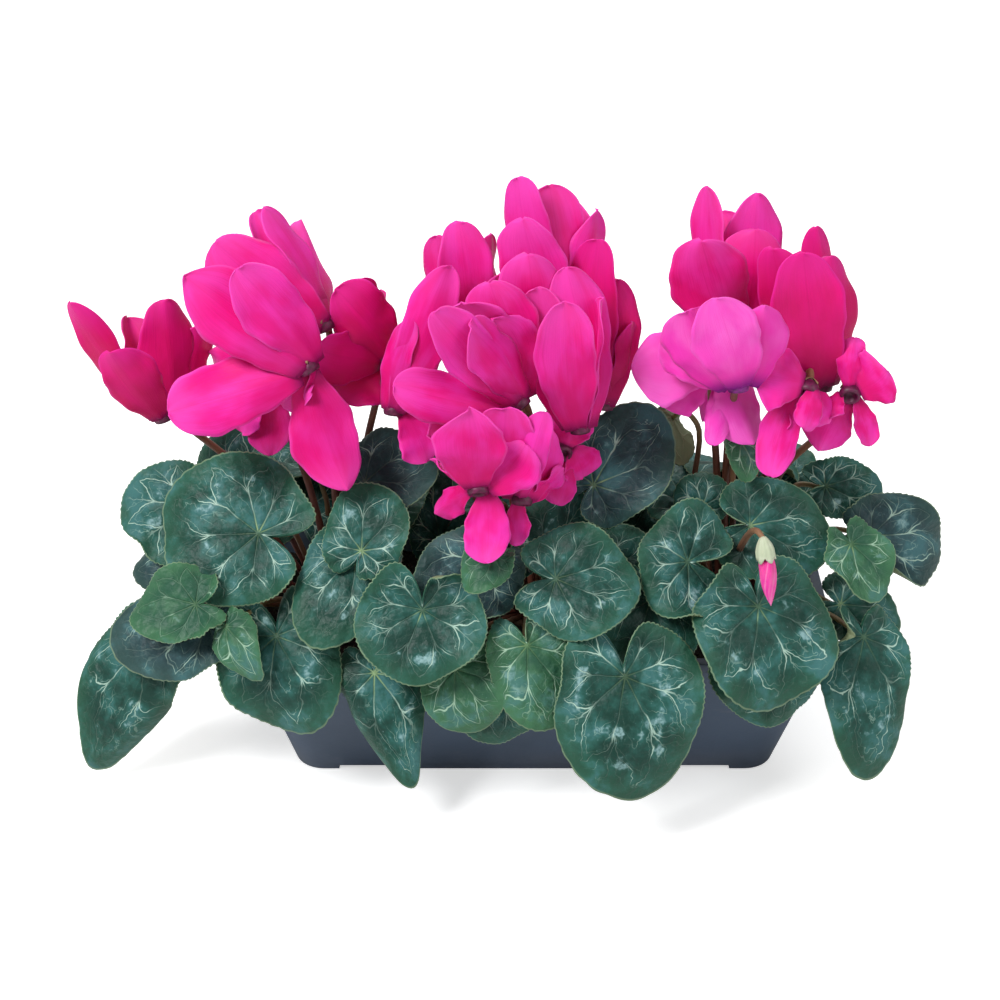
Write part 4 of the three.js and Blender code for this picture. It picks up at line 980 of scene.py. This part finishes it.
def petal_material(name, body, pale, deep, shade, edge, claw=0.14):
    """Silky petal: a deep claw and fine lengthwise veins, with painted light and shade: light shining through
    in patches and at the tip, a highlight along the margins, a crimson darkening towards the claw that is
    partly painted shade, and some petals lit or shaded more than others.
    """
    material, tree, out = shader(name)
    along, across, seed = [attribute(tree, label) for label in ("petal_along", "petal_across", "petal_seed")]
    off_middle = maths("ABSOLUTE", across)
    cloud = noise(vector(across * 1.4, along * 2.4, seed), 1.1, 2.0)
    streaks = noise(vector(across * 60.0, along * 2.0, seed), 1.0, 3.0, 0.6)
    own = maths("FRACT", seed * 0.618)
    layers = [
        # Pale patches: painted light shining through the petal.
        (smooth(cloud + along * 0.12, 0.42, 0.75, 0.0, 0.6), pale),
        (smooth(streaks, 0.42, 0.7, 0.0, 0.26), shade),
        # Each petal a little paler or darker at random: painted light and shade, as if each were turned to
        # the light in its own way.
        (smooth(own, 0.55, 1.0, 0.0, 0.4), pale),
        (smooth(own, 0.0, 0.45, 0.35, 0.0), shade),
        # Darker towards the claw: partly the petal's own deeper crimson, partly painted shade.
        (smooth(along, 0.05, 0.7, 0.6, 0.0), shade),
        # Paler and more lilac towards the tip: painted light shining through the thin tip.
        (smooth(along, 0.7, 1.0, 0.0, 0.3), edge),
        # A thin pale line along the margins: a painted highlight.
        (smooth(off_middle, 0.9, 1.0) * 0.35, edge),
        ((1.0 - smooth(off_middle, 0.0, 0.05)) * 0.12, shade),
        (1.0 - smooth(along, 0.0, claw), deep),
    ]
    colour = body
    for factor, layer in layers:
        colour = blend(factor, colour, layer)
    fill(out, {"Base Color": colour, "Normal": bump(streaks * 0.6 + cloud * 0.4, 0.35, 0.0007),
               "Roughness": 0.52, "Specular IOR Level": 0.17, "Sheen Weight": 0.03, "Sheen Roughness": 0.4,
               "Subsurface Weight": 0.15, "Subsurface Radius": (1.0, 0.25, 0.35), "Subsurface Scale": 0.004})
    return material


def throat_material(name, colour):
    material, tree, out = shader(name)
    grain = noise(object_place(tree), 500.0, 2.0)
    fill(out, {"Base Color": blend(smooth(grain, 0.3, 0.7), colour, [c * 0.45 for c in colour]),
               "Roughness": 0.5})
    return material


def stalk_material(name, low, high, tint):
    """Fleshy stalk: redder at its foot, greener towards the leaf or flower, finely streaked."""
    material, tree, out = shader(name)
    where = object_place(tree)
    colour = blend(smooth(attribute(tree, "height_share"), 0.1, 0.95), low, high)
    colour = blend(smooth(noise(where, 90.0, 4.0, 0.6), 0.45, 0.7, 0.0, 0.6), colour, tint)
    streaks = bump(noise(where, 700.0, 2.0), 0.3, 0.0004)
    fill(out, {"Base Color": colour, "Normal": streaks, "Roughness": 0.48})
    return material


def tuber_material():
    material, tree, out = shader("tuber_cork")
    rough = noise(object_place(tree), 160.0, 6.0, 0.7)
    fill(out, {"Base Color": blend(smooth(rough, 0.3, 0.7), (0.05, 0.026, 0.014), (0.16, 0.09, 0.05)),
               "Normal": bump(rough, 0.9, 0.002), "Roughness": 0.9})
    return material


def trough_material(colour, dust):
    """Moulded matte plastic: a fine cast grain, dull scuffs and dust at its foot."""
    material, tree, out = shader("trough_plastic")
    where = object_place(tree)
    cloud = noise(where, 14.0, 5.0, 0.6)
    speck = noise(where, 420.0, 3.0, 0.6)
    drawn_out = node(tree, "ShaderNodeMapping", {"Vector": where, "Scale": (40.0, 40.0, 260.0)})
    scuffs = noise(Value(drawn_out.outputs[0]), 1.0, 4.0, 0.7)
    low = Value(node(tree, "ShaderNodeSeparateXYZ", {0: where}).outputs["Z"])
    base = blend(smooth(cloud, 0.3, 0.7), colour, [c * 1.35 for c in colour])
    base = blend(smooth(scuffs, 0.6, 0.75, 0.0, 0.2), base, dust)
    base = blend(smooth(low, 0.0, 0.022, 0.35, 0.0) * smooth(cloud, 0.35, 0.65), base, dust)
    fill(out, {"Base Color": base, "Roughness": smooth(cloud, 0.3, 0.7, 0.5, 0.66),
               "Normal": bump(speck, 0.35, 0.0003), "Specular IOR Level": 0.4})
    return material


def soil_material():
    material, tree, out = shader("soil_compost")
    where = object_place(tree)
    crumbs = noise(where, 260.0, 8.0, 0.75)
    colour = blend(smooth(crumbs, 0.35, 0.65), (0.006, 0.0042, 0.0032), (0.03, 0.019, 0.012))
    colour = blend(smooth(noise(where, 40.0, 4.0, 0.6), 0.5, 0.75, 0.0, 0.5), colour, (0.045, 0.03, 0.018))
    fill(out, {"Base Color": colour, "Normal": bump(crumbs, 1.0, 0.003), "Roughness": 0.95})
    return material


# Settings

def colour_setting(name, description, default):
    return bpy.props.FloatVectorProperty(name=name, description=description, default=default,
                                         subtype="COLOR")


def length_setting(name, description, default):
    return bpy.props.FloatProperty(name=name, description=description, unit="LENGTH", default=default)


class CyclamenPlanterSettings(bpy.types.PropertyGroup):
    """The trough and its soil."""
    colour: colour_setting("Trough colour", "Colour of the moulded plastic", (0.052, 0.075, 0.114))
    dust: colour_setting("Dust colour", "Dry dust in the scuffs", (0.16, 0.16, 0.18))
    lip_rounding: length_setting("Edge rounding", "Radius of the moulding's edges", 0.0009)
    crumb_count: bpy.props.IntProperty(name="Crumbs", description="Loose crumbs on the soil",
                                       default=260, min=0)


class CyclamenFoliageSettings(bpy.types.PropertyGroup):
    """The leaves and their stalks."""
    dark: colour_setting("Leaf", "Colour of a grown leaf", (0.02, 0.108, 0.088))
    young: colour_setting("Young leaf", "Colour of a young leaf", (0.04, 0.135, 0.06))
    slate: colour_setting("Slate leaf", "Colour of the bluest leaves", (0.032, 0.084, 0.094))
    silver: colour_setting("Silver", "Colour of the blotches", (0.3, 0.48, 0.49))
    underside: colour_setting("Underside", "Colour below", (0.2, 0.25, 0.13))
    tooth_pitch: length_setting("Tooth pitch", "Distance between margin teeth", 0.0029)
    tooth_depth: length_setting("Tooth depth", "Depth of a margin tooth", 0.0009)
    vein_depth: length_setting("Vein depth", "Depth of the sunk main veins", 0.0007)


class CyclamenBloomSettings(bpy.types.PropertyGroup):
    """The flowers and the bud."""
    petal: colour_setting("Petal", "Main petal colour", (0.745, 0.003, 0.212))
    pale: colour_setting("Pale petal", "Petal where light shines through", (0.82, 0.04, 0.45))
    throat: colour_setting("Throat", "Colour round the mouth", (0.2, 0.002, 0.19))
    ruffle: length_setting("Ruffle", "Height of the ruffles at a petal's margin", 0.0013)


def settings():
    scene = bpy.context.scene
    return scene.cyclamen_planter, scene.cyclamen_foliage, scene.cyclamen_bloom


# Operators

def deselect_all():
    for thing in bpy.context.view_layer.objects:
        thing.select_set(False)


def select_only(thing):
    deselect_all()
    bpy.context.view_layer.objects.active = thing
    thing.select_set(True)


def begin_edit(thing):
    """Selects only this object, with none of its faces."""
    select_only(thing)
    bpy.ops.object.mode_set(mode="EDIT")
    bpy.ops.mesh.select_mode(type="FACE")
    bpy.ops.mesh.select_all(action="DESELECT")
    bpy.ops.object.mode_set(mode="OBJECT")


def pick_faces(thing, test):
    """Selects the faces whose centre and normal pass a test, and goes back to the open mesh."""
    for face in thing.data.polygons:
        face.select = bool(test(face.center, face.normal))
    bpy.ops.object.mode_set(mode="EDIT")


def close_edit():
    bpy.ops.mesh.select_all(action="DESELECT")
    bpy.ops.object.mode_set(mode="OBJECT")


def apply_place(thing):
    select_only(thing)
    bpy.ops.object.transform_apply(location=True, rotation=True, scale=True)


def apply_modifier(thing, kind, **values):
    modifier = thing.modifiers.new(kind.title(), kind)
    for key, value in values.items():
        setattr(modifier, key, value)
    select_only(thing)
    bpy.ops.object.modifier_apply(modifier=modifier.name)


def add_block(centre, size):
    """A box primitive with its place and size applied."""
    deselect_all()
    bpy.ops.mesh.primitive_cube_add(size=1, location=[c * MM for c in centre], scale=[s * MM for s in size])
    block = bpy.context.active_object
    apply_place(block)
    return block


def cut(thing, tool):
    apply_modifier(thing, "BOOLEAN", operation="DIFFERENCE", object=tool, solver="EXACT")
    bpy.data.objects.remove(tool)


def tapered_block(low, high, bottom, top, corner, corner_steps=10):
    """A block that widens from its foot to its top, with its upright corners rounded."""
    block = add_block((0, 0, (bottom + top) / 2), (high[0], high[1], top - bottom))
    begin_edit(block)
    pick_faces(block, lambda centre, normal: normal.z < -0.9)
    bpy.ops.transform.resize(value=(low[0] / high[0], low[1] / high[1], 1))
    bpy.ops.mesh.select_all(action="DESELECT")
    bpy.ops.mesh.select_mode(type="EDGE")
    bpy.ops.object.mode_set(mode="OBJECT")
    points = block.data.vertices
    for edge in block.data.edges:
        a, b = [points[i].co for i in edge.vertices]
        edge.select = abs(a.z - b.z) > 0.5 * (top - bottom) * MM
    bpy.ops.object.mode_set(mode="EDIT")
    bpy.ops.mesh.bevel(offset=corner * MM, segments=corner_steps, profile=0.5)
    close_edit()
    return block


def wall_size(height, inset=0.0):
    """The trough's outer length and width at a height, less an inset, under its lip."""
    t = height / TROUGH_HEIGHT
    length = BASE_LENGTH + (RIM_LENGTH - 2 * LIP_REACH - BASE_LENGTH) * t - 2 * inset
    width = BASE_WIDTH + (RIM_WIDTH - 2 * LIP_REACH - BASE_WIDTH) * t - 2 * inset
    return length, width


class CYCLAMEN_OT_trough(bpy.types.Operator):
    """Models the tapered trough with its lip, feet and drainage holes."""
    bl_idname = "cyclamen.trough"
    bl_label = "Trough"

    def execute(self, context):
        planter = settings()[0]
        corner = RIM_CORNER - LIP_REACH
        body = tapered_block(wall_size(0), wall_size(TROUGH_HEIGHT), 0, TROUGH_HEIGHT, corner)
        lip = tapered_block((RIM_LENGTH - LIP_DRAFT, RIM_WIDTH - LIP_DRAFT), (RIM_LENGTH, RIM_WIDTH),
                            TROUGH_HEIGHT - LIP_HEIGHT, TROUGH_HEIGHT, RIM_CORNER)
        apply_modifier(body, "BOOLEAN", operation="UNION", object=lip, solver="EXACT")
        bpy.data.objects.remove(lip)
        floor = FOOT_HEIGHT + WALL
        over = TROUGH_HEIGHT + 2
        cut(body, tapered_block(wall_size(floor, WALL), wall_size(over, WALL), floor, over, corner - WALL))
        between_feet = (DRAIN_OUTER - DRAIN_INNER, 2 * RIM_WIDTH, 2 * FOOT_HEIGHT)
        for side in (-1, 1):
            middle = side * (DRAIN_INNER + DRAIN_OUTER) / 2
            cut(body, add_block((middle, 0, 0), between_feet))
            for row in (-1, 1):
                deselect_all()
                spot = (middle * MM, row * BASE_WIDTH / 5 * MM, 0)
                bpy.ops.mesh.primitive_cylinder_add(radius=DRAIN_HOLE * MM, depth=4 * floor * MM,
                                                    vertices=28, location=spot)
                drill = context.active_object
                apply_place(drill)
                cut(body, drill)
        apply_modifier(body, "BEVEL", width=planter.lip_rounding, segments=3, limit_method="ANGLE",
                       angle_limit=math.radians(40))
        body.data.polygons.foreach_set("use_smooth", [True] * len(body.data.polygons))
        select_only(body)
        bpy.ops.object.shade_smooth_by_angle(angle=math.radians(35))
        body.name = body.data.name = "trough_shell"
        body.data.materials.clear()
        body.data.materials.append(trough_material(tuple(planter.colour), tuple(planter.dust)))
        settle(body, "trough", "trough")
        return {"FINISHED"}


class CYCLAMEN_OT_soil(bpy.types.Operator):
    """Models the crumbled compost that fills the trough."""
    bl_idname = "cyclamen.soil"
    bl_label = "Soil"

    def execute(self, context):
        planter = settings()[0]
        length, width = wall_size(SOIL_HEIGHT, WALL + GAP)
        bottom = FOOT_HEIGHT + WALL + GAP
        low_length, low_width = wall_size(bottom, WALL + GAP)
        columns, rows = 150, 70
        xs, ys = np.linspace(-1, 1, columns), np.linspace(-1, 1, rows)
        parts = MeshParts()
        corner = RIM_CORNER - LIP_REACH - WALL
        top = []
        for y in ys:
            for x in xs:
                px, py = x * length / 2, y * width / 2
                over_x, over_y = abs(px) - (length / 2 - corner), abs(py) - (width / 2 - corner)
                if over_x > 0 and over_y > 0 and math.hypot(over_x, over_y) > corner:
                    shrink = corner / math.hypot(over_x, over_y)
                    px = math.copysign(length / 2 - corner + over_x * shrink, px)
                    py = math.copysign(width / 2 - corner + over_y * shrink, py)
                # Lumps a few centimetres long, and crumbs at every point.
                lump = 1.5 * math.sin(px / 13 + 1.3 * math.sin(py / 9)) * math.cos(py / 11)
                crumb = 1.3 * (draw(int(px * 7.1) + 977 * int(py * 3.7)) - 0.5)
                top.append((px, py, SOIL_HEIGHT - 0.6 + 0.6 * lump + crumb * 0.8))
        faces, ring, count = grid_faces(rows, columns), grid_margin(rows, columns), len(top)
        low = [(top[i][0] * low_length / length, top[i][1] * low_width / width, bottom) for i in ring]
        for k, i in enumerate(ring):
            j = (k + 1) % len(ring)
            faces.append((ring[j], i, count + k, count + j))
        faces.append(tuple(count + k for k in reversed(range(len(ring)))))
        parts.add(top + low, faces, 0)
        piece = parts.build("soil_bed", [soil_material()])
        self.scatter_crumbs(piece, planter.crumb_count, length, width)
        settle(piece, "soil", "soil")
        return {"FINISHED"}

    def scatter_crumbs(self, bed, count, length, width):
        """Joins small faceted crumbs of compost to the bed's top."""
        deselect_all()
        bpy.ops.mesh.primitive_ico_sphere_add(subdivisions=1, radius=MM)
        seed = bpy.context.active_object
        shape = np.array([v.co[:] for v in seed.data.vertices]) / MM
        faces = [tuple(f.vertices) for f in seed.data.polygons]
        bpy.data.objects.remove(seed)
        parts = MeshParts()
        for n in range(count):
            across, along = (draw(n) - 0.5) * (length - 12), (draw(n + 1000) - 0.5) * (width - 12)
            spot = np.array([across, along, SOIL_HEIGHT + 0.4])
            # Most crumbs are small, and all are a little flattened.
            size = 0.8 + 1.9 * draw(n + 2000) ** 2
            squash = np.array([1, 0.7 + 0.5 * draw(n + 3000), 0.55 + 0.4 * draw(n + 4000)])
            parts.add(spot + shape * size * squash, faces, 0)
        crumbs = parts.build("crumbs", [bed.data.materials[0]])
        select_only(bed)
        crumbs.select_set(True)
        bpy.ops.object.join()


class CYCLAMEN_OT_stalks(bpy.types.Operator):
    """Models each plant's tuber, petioles, flower stalks and calyces."""
    bl_idname = "cyclamen.stalks"
    bl_label = "Tubers and stalks"

    def execute(self, context):
        # Each stalk has the colour of its foot, of its upper end and of its streaks.
        materials = [
            stalk_material("leaf_stalk", (0.17, 0.05, 0.035), (0.2, 0.2, 0.07), (0.1, 0.04, 0.03)),
            stalk_material("flower_stalk", (0.15, 0.05, 0.03), (0.24, 0.14, 0.07), (0.1, 0.025, 0.03)),
            tuber_material(),
            stalk_material("bud_calyx", (0.3, 0.34, 0.2), (0.46, 0.52, 0.36), (0.62, 0.66, 0.52)),
        ]
        leaves = lay_out_leaves()
        for plant, crown in enumerate(CROWNS):
            parts = MeshParts()
            profile = [(TUBER_RADIUS * math.sin(a), TUBER_HEIGHT * math.cos(a))
                       for a in np.linspace(0.01, math.pi - 0.01, 15)]
            lathe(parts, crown, UP, profile, 36, 2, height_share=0.0)
            for leaf in leaves:
                if leaf.plant == plant:
                    tube(parts, petiole_curve(leaf), PETIOLE_RADIUS, 26, 10, 0, (1.15, 0.85))
            for number, flower in enumerate(FLOWERS):
                if flower[1] == plant:
                    tube(parts, flower_stalk_curve(flower), FLOWER_STALK_RADIUS, 40, 12, 1, (1.1, 0.85))
                    calyx(parts, place(flower[2]), unit(np.array(flower[3], float)), number)
            if plant == BUD["plant"]:
                tube(parts, bud_stalk_curve(), FLOWER_STALK_RADIUS, 36, 12, 1, (1.1, 0.7))
                self.bud_calyx(parts)
            piece = parts.build(f"stalks_{PLANTS[plant]}_plant", materials)
            settle(piece, "stalk", f"stalks_{PLANTS[plant]}")
        return {"FINISHED"}

    def bud_calyx(self, parts):
        """The bud's ribbed calyx, whose five sepals end in points over the petals."""
        top = place(BUD["calyx"])
        length, axis, first, second = along_line(top, place(BUD["foot"]))
        # Radius, distance from the stalk, and how much of a sepal's point the ring takes.
        rings = [(POLE, -1, 0), (1.6, -0.4, 0), (2.6, 1.0, 0), (4.0, 0.35 * length, 0),
                 (4.8, 0.6 * length, 0), (4.9, 0.85 * length, 0.4), (5.0, length, 1), (4.4, length, 1),
                 (3.6, 0.8 * length, 0), (POLE, 0.8 * length, 0)]
        angles = circle(60)
        rib = 1 - 0.08 * (1 - np.abs(np.cos(5 * angles)))
        sepal = 3.2 * (np.abs(np.cos(2.5 * angles)) - 0.5)
        points = [ring(top + np.outer(along + pointed * sepal, axis), first, second, rib * radius, angles)
                  for radius, along, pointed in rings]
        parts.add(points, round_faces(len(rings), len(angles)), 3, height_share=0.9)


class CYCLAMEN_OT_leaves(bpy.types.Operator):
    """Models every leaf blade with its toothed margin, sunk veins and thickness."""
    bl_idname = "cyclamen.leaves"
    bl_label = "Leaves"

    def execute(self, context):
        foliage = settings()[1]
        group = leaf_markings_group()
        silver, vein, young_vein = tuple(foliage.silver), (0.42, 0.6, 0.5), (0.36, 0.55, 0.4)
        # Name, colour, deep colour (for the mottle and for the painted shade in the hollows of the relief),
        # veins, share of silver, and margin.
        looks = {
            "dark": ("leaf_grown", foliage.dark, (0.005, 0.038, 0.027), vein, 0.7, (0.028, 0.115, 0.062)),
            "slate": ("leaf_slate", foliage.slate, (0.014, 0.038, 0.044), vein, 0.5, (0.034, 0.085, 0.066)),
            "young": ("leaf_young", foliage.young, (0.018, 0.08, 0.045), young_vein, 0.3, (0.06, 0.18, 0.08)),
        }
        tops = {kind: leaf_top_material(name, group, tuple(base), deep, veins, silver, share, edge)
                for kind, (name, base, deep, veins, share, edge) in looks.items()}
        below = tuple(foliage.underside)
        under = leaf_underside_material("leaf_underside", group, below, (0.42, 0.44, 0.28))
        shapes = (foliage.tooth_pitch / MM, foliage.tooth_depth / MM, foliage.vein_depth / MM)
        by_node = {}
        for leaf in lay_out_leaves():
            by_node.setdefault(leaf.node, []).append(leaf)
        for name, leaves in by_node.items():
            parts = MeshParts()
            for leaf in leaves:
                blade(parts, leaf, 240 if leaf.width > 40 else 160, *shapes)
            piece = parts.build(f"{name}_blade", [tops[leaves[0].kind], under])
            settle(piece, "leaf", name)
        return {"FINISHED"}


class CYCLAMEN_OT_flowers(bpy.types.Operator):
    """Models every flower: its nose and five swept-back ruffled petals."""
    bl_idname = "cyclamen.flowers"
    bl_label = "Flowers"

    def execute(self, context):
        bloom = settings()[2]
        main, pale, violet = tuple(bloom.petal), tuple(bloom.pale), tuple(bloom.throat)
        crimson, rose, lilac = (0.24, 0.0, 0.08), (0.76, 0.015, 0.32), (0.86, 0.1, 0.52)
        # Body, pale patches of painted light shining through, claw, shade (painted shade and the fine veins)
        # and edge (painted light at the tips and along the margins).
        petals = {
            "bright": petal_material("petal_bright", main, pale, crimson, (0.5, 0.0, 0.1), lilac),
            "pale": petal_material("petal_pale", pale, (0.9, 0.15, 0.6), violet, rose, lilac, 0.24),
            "deep": petal_material("petal_deep", (0.58, 0.003, 0.12), main, crimson, (0.4, 0.0, 0.07), pale),
        }
        throats = {"pale": throat_material("throat_violet", violet),
                   "other": throat_material("throat_crimson", (0.13, 0.0, 0.05))}
        number = 0
        for flower in FLOWERS:
            name, _, nose_at, sweep, rows = flower
            nose, axis = place(nose_at), unit(np.array(sweep, float))
            parts = MeshParts()
            for root, row in zip(petal_roots(nose, axis, rows), rows):
                petal(parts, nose, root, row, number, bloom.ruffle / MM)
                number += 1
            flower_nose(parts, nose, axis)
            kind = FLOWER_KINDS.get(name, "bright")
            piece = parts.build(f"{name}_corolla", [petals[kind], throats.get(kind, throats["other"])])
            settle(piece, "petal", FUSED_FLOWERS.get(name, name))
        return {"FINISHED"}


class CYCLAMEN_OT_bud(bpy.types.Operator):
    """Models the furled petals of the one unopened bud."""
    bl_idname = "cyclamen.bud"
    bl_label = "Bud"

    def execute(self, context):
        foot = place(BUD["foot"])
        length, axis, first, second = along_line(foot, place(BUD["tip"]))
        rows, sides = 26, 30
        shares, angles = np.linspace(0, 1, rows), circle(sides)
        points = []
        for t in shares:
            radius = 4.2 * max(0.02, math.sin(math.pi * (0.26 + 0.74 * t) ** 0.9) ** 0.9)
            furl = 1 + 0.08 * np.sin(5 * angles + 4 * t)
            centre = foot + axis * (GAP + (length - GAP) * t)
            points.append(ring(centre, first, second, radius * furl, angles + 1.6 * t))
        parts = MeshParts()
        parts.add(points, round_faces(rows, sides), 0, petal_along=np.repeat(0.25 + 0.7 * shares, sides),
                  petal_across=np.tile(np.sin(2.5 * angles), rows), petal_seed=5.0)
        pale = tuple(settings()[2].pale)
        material = petal_material("petal_bud", pale, (0.95, 0.35, 0.6), (0.9, 0.3, 0.5), (0.75, 0.02, 0.2),
                                  (0.95, 0.4, 0.65))
        settle(parts.build("bud_furled_petals", [material]), "petal", "bud_petals")
        return {"FINISHED"}


SKY_LIGHT = 0.34
FLOOR_GLOW = 0.55
PAPER_LOW, PAPER_HIGH = (0.84, 0.84, 0.84), (0.88, 0.88, 0.88)
STAGE_MIDDLE = (0, 0, 0.15)
# Softboxes: place in metres, size in metres, watts.
SOFTBOXES = [((-0.9, -0.8, 1.5), 0.6, 31), ((1.1, -0.7, 0.9), 0.8, 7), ((0.1, 1.0, 1.2), 0.8, 8)]


def seen_by_camera(tree):
    return Value(node(tree, "ShaderNodeLightPath").outputs["Is Camera Ray"])


class CYCLAMEN_OT_stage(bpy.types.Operator):
    """Sets the pale floor, the soft studio light and the camera."""
    bl_idname = "cyclamen.stage"
    bl_label = "Stage"

    def execute(self, context):
        scene = context.scene
        deselect_all()
        bpy.ops.mesh.primitive_plane_add(size=40, location=(0, 0, -0.0002))
        floor = context.active_object
        floor.name = "studio_floor"
        material, tree, out = shader("studio_paper")
        paper = blend(noise(object_place(tree), 30.0), PAPER_LOW, PAPER_HIGH)
        fill(out, {"Base Color": paper, "Roughness": 0.9, "Emission Color": (1, 1, 1, 1),
                   "Emission Strength": seen_by_camera(tree) * FLOOR_GLOW})
        floor.data.materials.append(material)
        world = scene.world or bpy.data.worlds.new("World")
        scene.world = world
        world.use_nodes = True
        sky = world.node_tree.nodes["Background"]
        strength = smooth(seen_by_camera(world.node_tree), 0.0, 1.0, SKY_LIGHT, 1.0)
        fill(sky, {"Color": (1, 1, 1, 1), "Strength": strength})
        for spot, size, power in SOFTBOXES:
            light = bpy.data.lights.new("softbox", "AREA")
            light.shape, light.size, light.energy = "SQUARE", size, power
            lamp = bpy.data.objects.new("softbox", light)
            lamp.location = spot
            lamp.rotation_mode = "QUATERNION"
            aim = Vector(STAGE_MIDDLE) - lamp.location
            lamp.rotation_quaternion = aim.to_track_quat("-Z", "Y")
            scene.collection.objects.link(lamp)
        camera = bpy.data.objects.new("camera", bpy.data.cameras.new("camera"))
        camera.data.sensor_width = 36
        camera.data.lens = 36 * VIEW_FOCAL / VIEW_SIZE
        camera.location = EYE * MM
        camera.rotation_euler = (math.pi / 2 - VIEW_ELEVATION, 0, 0)
        scene.collection.objects.link(camera)
        scene.camera = camera
        scene.view_settings.view_transform = "Standard"
        return {"FINISHED"}


class CYCLAMEN_PT_panel(bpy.types.Panel):
    """Lists the pieces of the potted cyclamen and their settings."""
    bl_idname = "CYCLAMEN_PT_panel"
    bl_label = "Cyclamen"
    bl_space_type = "VIEW_3D"
    bl_region_type = "UI"
    bl_category = "Cyclamen"

    def draw(self, context):
        for group in settings():
            box = self.layout.box()
            for name in group.__annotations__:
                box.prop(group, name)
        for operator in OPERATORS:
            self.layout.operator(operator.bl_idname)


OPERATORS = [CYCLAMEN_OT_stage, CYCLAMEN_OT_trough, CYCLAMEN_OT_soil, CYCLAMEN_OT_stalks, CYCLAMEN_OT_leaves,
             CYCLAMEN_OT_flowers, CYCLAMEN_OT_bud]
SETTINGS = {"cyclamen_planter": CyclamenPlanterSettings, "cyclamen_foliage": CyclamenFoliageSettings,
            "cyclamen_bloom": CyclamenBloomSettings}


def register():
    for made in [*SETTINGS.values(), *OPERATORS, CYCLAMEN_PT_panel]:
        bpy.utils.register_class(made)
    for name, group in SETTINGS.items():
        setattr(bpy.types.Scene, name, bpy.props.PointerProperty(type=group))


def unregister():
    for name in SETTINGS:
        delattr(bpy.types.Scene, name)
    for made in reversed([*SETTINGS.values(), *OPERATORS, CYCLAMEN_PT_panel]):
        bpy.utils.unregister_class(made)


def main():
    """Builds every piece."""
    register()
    bpy.ops.cyclamen.stage()
    bpy.ops.cyclamen.trough()
    bpy.ops.cyclamen.soil()
    bpy.ops.cyclamen.stalks()
    bpy.ops.cyclamen.leaves()
    bpy.ops.cyclamen.flowers()
    bpy.ops.cyclamen.bud()
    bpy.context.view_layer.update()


if __name__ == "__main__":
    main()
